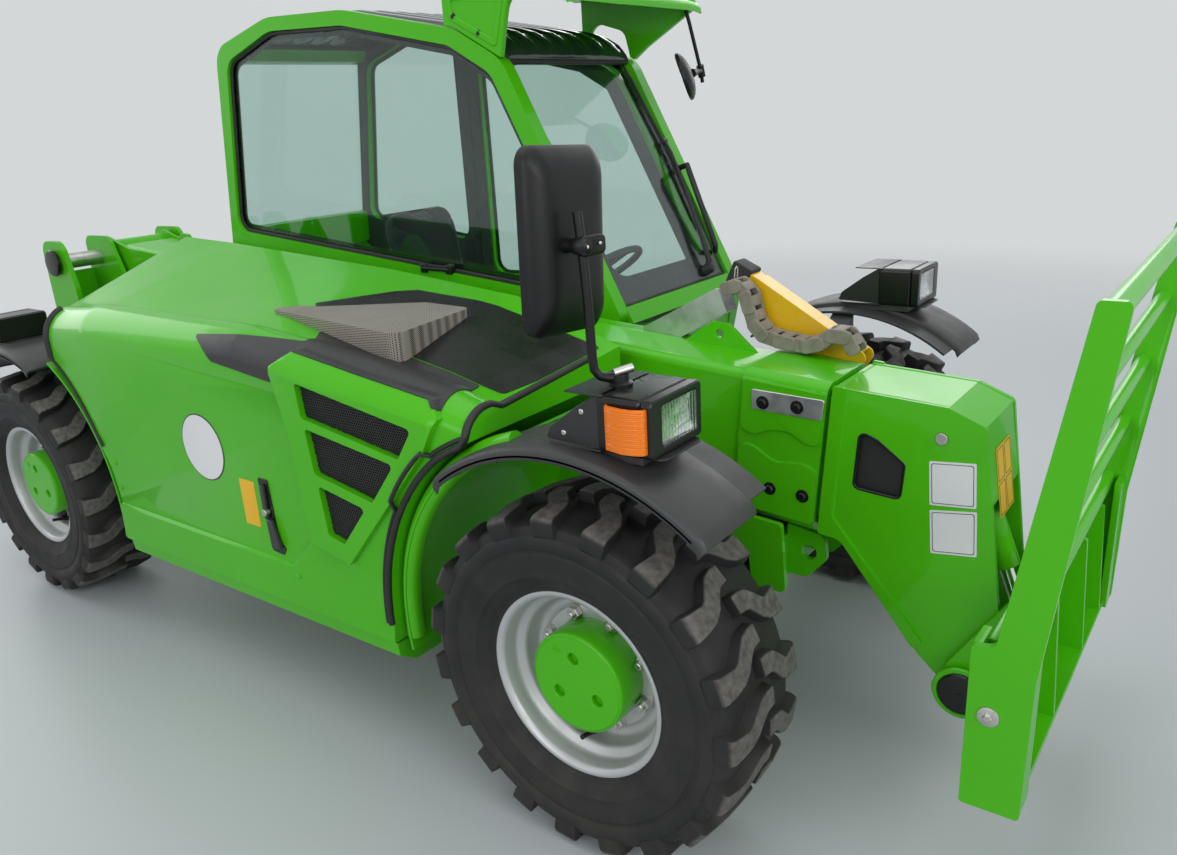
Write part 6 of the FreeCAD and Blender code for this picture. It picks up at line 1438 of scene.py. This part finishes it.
stations = np.concatenate([[0.0, 0.02, 0.05, 0.09], np.linspace(0.14, 0.86, 30), [0.91, 0.95, 0.98, 1.0]])
drop = 0.012 * np.clip(np.abs(stations - 0.5) * 2.0 - 0.80, 0.0, 1.0) ** 2 * 25.0 * 0.6
visor = np.stack([np.broadcast_to(FRONT_AXLE_X + x, (len(stations), len(x))),
                  np.broadcast_to((0.100 + 0.760 * stations)[:, None], (len(stations), len(x))),
                  z[None] - drop[:, None]], -1)
faces = grid_faces(len(stations), len(x), close_columns=True).tolist()
faces += [list(range(len(x))), list(range((len(stations) - 1) * len(x), len(stations) * len(x)))]
bracket = in_metres([(-1130, 1982, 6), (-820, 1962, 20), (-868, 1905, 60), (-884, 1850, 120), (-905, 1762, 4),
                     (-1090, 1864, 4), (-1130, 1872, 4)])
far_bracket = in_metres([(-1130, 1982, 6), (-660, 1944, 16), (-652, 1908, 20), (-850, 1800, 60), (-905, 1762, 4),
                         (-922, 1772, 2), (-945, 1860, 46), (-1070, 1900, 46), (-1092, 1866, 4), (-1130, 1872, 4)])
guard = [(visor.reshape(-1, 3), faces), upright([bracket], 0.022, 0.123, 0.003),
         upright([far_bracket], 0.022, 0.859, 0.003)]
corners = np.array([(-1.112, 1.960), (-0.872, 1.950), (-0.905, 1.830), (-0.918, 1.792), (-1.100, 1.888)])
raised = upright([round_quad(corners, 0.0, 0.012), round_quad(corners, 0.018, 0.008)], 0.005, 0.1025, 0.0022)
guard_piece = piece_from("roof_guard_pressed", guard + [raised], "root", GREEN, 35.0)
stand_for(guard_piece, "roof_guard")
bolts = []
for place in ((-0.985, 1.838), (-1.085, 1.895)):
    bolts += bolt_on(ahead(place[0], 0.101, place[1]), -ACROSS, 0.007, 0.006)
piece_from("guard_bolts", bolts, "root", SMOOTH_BLACK)
print("roof ribs over", len(across), "stations; visor", len(stations), "by", len(x))

# %% [markdown]
# ## Hose carrier and the prop's block
# The hoses run on in a chain of box links, which on the machine folds as the stage moves; here the links are one
# fixed piece on the boom. Every other link is narrower, so that each turns inside its neighbours. The safety prop
# rests on a black rubber block when it lies on the boom.

# %% Hose carrier and block
LINKS = np.array([(2806, 206), (2838, 218), (2866, 196), (2880, 160), (2896, 122), (2926, 96), (2966, 90),
                  (3006, 88), (3046, 88), (3084, 102), (3110, 128), (3148, 130), (3172, 100)]) / 1000.0
LINK_GREY = finish_for("link_plastic", (0.20, 0.175, 0.145), (0.31, 0.275, 0.235), (0.50, 0.70), patch=22.0,
                       grain=700.0, relief=0.35)
links = []
for k, (a, b) in enumerate(zip(LINKS[:-1], LINKS[1:])):
    run = (b - a) / np.linalg.norm(b - a)
    side = np.array([-run[1], run[0]])
    outline = bar_outline(a, b, 0.0185, 0.012, 0.012)
    narrow = 0.004 * (k % 2)
    for start_y, thick in ((0.044 - narrow, 0.007), (-0.010 + narrow, 0.007)):
        links.append(boom_plate([outline], thick, start_y, 0.0018))
    middle = (a + b) / 2
    for shift in (-0.0150, 0.0150):
        bar = middle + shift * side
        strap = bar_outline(bar - 0.014 * run, bar + 0.014 * run, 0.003, 0.0, 0.002, 3)
        links.append(boom_plate([strap], 0.052, 0.041, 0.001))
pieces["hose_tray"].data.materials[0] = ALUMINIUM
chain = piece_from("hose_links", links, "boom", LINK_GREY, 35.0)
stand_for(chain, "hose_carrier")
hoses = [tube([on_boom(*p) for p in ((2.800, y, 0.204), (2.838, y, 0.213), (2.864, y, 0.192), (2.880, y, 0.158),
                                      (2.898, y, 0.122), (2.928, y, 0.097), (2.966, y, 0.090), (3.046, y, 0.088),
                                      (3.084, y, 0.102), (3.110, y, 0.127), (3.148, y, 0.129), (3.170, y, 0.102))],
              0.0085, 12) for y in (-0.002, 0.017, 0.036)]
piece_from("hoses_in_links", hoses, "boom", GASKET)
hoop = tube([on_boom(2.832, y, w) for y, w in ((-0.012, 0.232), (-0.012, 0.262), (-0.004, 0.268), (0.004, 0.262),
                                               (0.004, 0.236))], 0.0018, 8)
piece_from("link_hoop", [hoop], "boom", ZINC)
run = np.array([0.934, -0.356])
side = np.array([0.356, 0.934])
foot = np.array([2.818, 0.226])
outline = rounded([(*(foot + a * run + b * side), 0.006) for a, b in ((-0.042, -0.034), (0.020, -0.034),
                                                                      (0.020, 0.030), (-0.042, 0.030))], 4)
block = [boom_plate([outline], 0.058, 0.119, 0.003)]
block += bolt_on(on_boom(foot[0] - 0.010, 0.062, foot[1]), -ACROSS, 0.008, 0.006)
piece_from("prop_rest_block", block, "boom", GASKET)
print("links:", len(LINKS) - 1)

# %% [markdown]
# ## Seat
# The driver's seat is foam under cloth. Its cushion and its back start as soft closed forms, a little small, and
# the cloth is blown up from inside, held so that no point moves far.

# %% Seat
SEAT_CLOTH = finish_for("seat_fabric", (0.016, 0.016, 0.018), (0.028, 0.028, 0.030), (0.80, 0.95), patch=7.0,
                        grain=900.0, relief=0.7, grain_size=0.0007, edge=0.0, level=0.3)
SEAT_CLOTH.node_tree.nodes["Principled BSDF"].inputs["Sheen Weight"].default_value = 0.25
PUFF = 0.022


def soft_form(centre, half, lean, square=0.35):
    """A closed form between a box and a ball: a point is half * sign(c) |c| ** square for each of the three
    direction cosines c of a ball, leaned back by an angle about Y."""
    t = np.linspace(-0.5, 0.5, 41)[:, None] * np.pi
    p = np.arange(80)[None] * 2 * np.pi / 80
    def power(value):
        return np.sign(value) * np.abs(value) ** square
    ball = np.stack(np.broadcast_arrays(power(np.cos(t)) * power(np.cos(p)), power(np.cos(t)) * power(np.sin(p)),
                                        power(np.sin(t))), -1) * half
    a = math.radians(lean)
    turn = np.array([(math.cos(a), 0.0, math.sin(a)), (0.0, 1.0, 0.0), (-math.sin(a), 0.0, math.cos(a))])
    return ball.reshape(-1, 3) @ turn.T + centre, grid_faces(41, 80, close_columns=True).tolist()


def blown(piece, reach):
    """Remeshes the piece evenly, blows it up as cloth for 20 frames, and lets no point move further than reach."""
    even = piece.modifiers.new("even", "REMESH")
    even.mode = "VOXEL"
    even.voxel_size = 0.006
    scene = bpy.context.scene
    scene.frame_set(1)
    before = bpy.data.meshes.new_from_object(piece.evaluated_get(bpy.context.evaluated_depsgraph_get()))
    piece.modifiers.clear()
    piece.data = before
    cloth = piece.modifiers.new("cloth", "CLOTH")
    cloth.settings.quality = 4
    cloth.settings.use_pressure = True
    cloth.settings.uniform_pressure_force = 4.0
    cloth.settings.effector_weights.gravity = 0.0
    cloth.collision_settings.use_collision = False
    cloth.point_cache.frame_start, cloth.point_cache.frame_end = 1, 20
    for number in range(1, 21):
        scene.frame_set(number)
    after = bpy.data.meshes.new_from_object(piece.evaluated_get(bpy.context.evaluated_depsgraph_get()))
    count = len(before.vertices)
    old, new = np.empty(3 * count), np.empty(3 * count)
    before.vertices.foreach_get("co", old)
    after.vertices.foreach_get("co", new)
    old, new = old.reshape(-1, 3), new.reshape(-1, 3)
    step = new - old
    far = np.linalg.norm(step, axis=1)[:, None]
    new = old + step * np.minimum(1.0, reach / np.maximum(far, 1e-9))
    piece.modifiers.clear()
    piece.data = after
    after.vertices.foreach_set("co", new.ravel())
    scene.frame_set(1)
    piece.data.shade_smooth()
    finer = piece.modifiers.new("finer", "SUBSURF")
    finer.levels = finer.render_levels = 1
    return piece


CUSHION = (ahead(-1.395, 0.480, 0.765), np.array([0.225, 0.190, 0.042]), -5.0)
BACK = (ahead(-1.690, 0.480, 1.050), np.array([0.040, 0.180, 0.225]), -12.0)
for name, (centre, half, lean) in (("seat_cushion", CUSHION), ("seat_back", BACK)):
    pad = piece_from(name, [soft_form(centre, half, lean)], "root", SEAT_CLOTH, 60.0, 1e-5)
    blown(pad, PUFF)
    if name == "seat_cushion":
        stand_for(pad, "seat")
tray = plate([in_metres([(-1640, 292, 40), (-1180, 292, 60), (-1180, 668, 60), (-1640, 668, 40)])], 0.030,
             ahead(0.0, 0.0, 0.698), FORWARD, ACROSS, 0.006)
spine = upright([in_metres([(-1700, 700, 20), (-1640, 700, 20), (-1668, 880, 40), (-1762, 1260, 20),
                            (-1776, 1255, 20), (-1716, 860, 40)])], 0.300, 0.630, 0.010)
piece_from("seat_shell", [tray, spine], "root", GRAINED, 35.0)
print("seat padded")

# %% [markdown]
# ## Wiper, mirror, latch and handle
# The wiper lies parked along the far pillar. The small round mirror hangs on a thin rod from the visor and is seen
# almost edge on. A latch sits on the window sill, and the door has a pull handle.

# %% Wiper, mirror, latch and handle
share = np.linspace(0.10, 0.80, 20)
blade = [tube(on_screen(share, 0.782 - 0.02 * share, 0.014), 0.0045, 8),
         tube(on_screen(share[1:-1], 0.782 - 0.02 * share[1:-1], 0.022), 0.0030, 8)]
arm = tube([on_screen(s, y, o) for s, y, o in ((0.955, 0.700, 0.006), (0.93, 0.703, 0.030), (0.85, 0.712, 0.036),
                                               (0.65, 0.742, 0.038), (0.50, 0.766, 0.032), (0.44, 0.774, 0.026))],
           [0.012, 0.011, 0.008, 0.0065, 0.0055, 0.0055], 12)
hub = turned([(-0.010, 0), (-0.010, 0.020), (0.020, 0.019), (0.030, 0.014), (0.034, 0)],
             on_screen(0.955, 0.700, 0.004), (0.875, 0.0, 0.484), 28)
clip = turned([(-0.012, 0), (-0.012, 0.010), (0.012, 0.010), (0.012, 0)], on_screen(0.44, 0.774, 0.022), (0, 1, 0),
              16)
piece_from("wiper", blade + [arm, hub, clip], "root", GASKET, 40.0)
dish_centre = ahead(-0.660, 0.785, 1.690)
dish_axis = np.array([0.75, 0.42, 0.30])
dish = turned([(-0.012, 0), (-0.012, 0.078), (-0.008, 0.082), (0.0, 0.081), (0.010, 0.070), (0.019, 0.050),
               (0.024, 0.026), (0.026, 0)], dish_centre, dish_axis, 64)
dish_back = dish_centre + 0.022 * dish_axis / np.linalg.norm(dish_axis)
rod = tube([ahead(-0.668, 0.806, 1.905), ahead(-0.664, 0.824, 1.860), ahead(-0.655, 0.878, 1.715),
            ahead(-0.652, 0.888, 1.668)], 0.0065, 12)
stub = tube([dish_back, (dish_back + ahead(-0.655, 0.878, 1.708)) / 2, ahead(-0.654, 0.880, 1.706)],
            [0.016, 0.011, 0.011], 14)
grip = turned([(-0.020, 0), (-0.020, 0.013), (0.020, 0.013), (0.020, 0)], ahead(-0.654, 0.881, 1.706),
              (0.02, 0.33, -0.95), 20)
small_mirror = piece_from("mirror_round", [dish, rod, stub, grip], "root", MIRROR_BLACK, 40.0)
stand_for(small_mirror, "mirror_left")
face = turned([(-0.0135, 0), (-0.0135, 0.074), (-0.0125, 0.0745), (-0.0125, 0)], dish_centre, dish_axis, 64)
piece_from("mirror_round_glass", [face], "root", MIRROR_GLASS)
bar = upright([in_metres([(-1336, 1104, 3), (-1204, 1100, 3), (-1204, 1118, 5), (-1336, 1121, 5)])], 0.016, 0.112,
              0.003)
lugs = [upright([in_metres([(x - 15, 1092, 3), (x + 15, 1092, 3), (x + 15, 1124, 9), (x - 15, 1124, 9)])], 0.028,
                0.118, 0.004) for x in (-1330, -1210)]
pin = tube([ahead(-1.335, 0.094, 1.108), ahead(-1.27, 0.094, 1.107), ahead(-1.205, 0.094, 1.106)], 0.0065, 12)
piece_from("sill_latch", [bar, pin] + lugs, "root", MIRROR_BLACK)
pocket = plate([box_outline(0.0, 0.0, 0.16, 0.056, 0.02, 5)], 0.008,
               ahead(-1.560, 0.8595, 0.880), -FORWARD, UP, 0.003)
pull = tube([ahead(-1.625, 0.864, 0.880), ahead(-1.615, 0.886, 0.880), ahead(-1.590, 0.894, 0.880),
             ahead(-1.530, 0.894, 0.880), ahead(-1.505, 0.886, 0.880), ahead(-1.495, 0.864, 0.880)], 0.009, 14)
piece_from("door_handle", [pocket, pull], "cab_door", MIRROR_BLACK, 40.0)
print("wiper, round mirror, latch and handle")
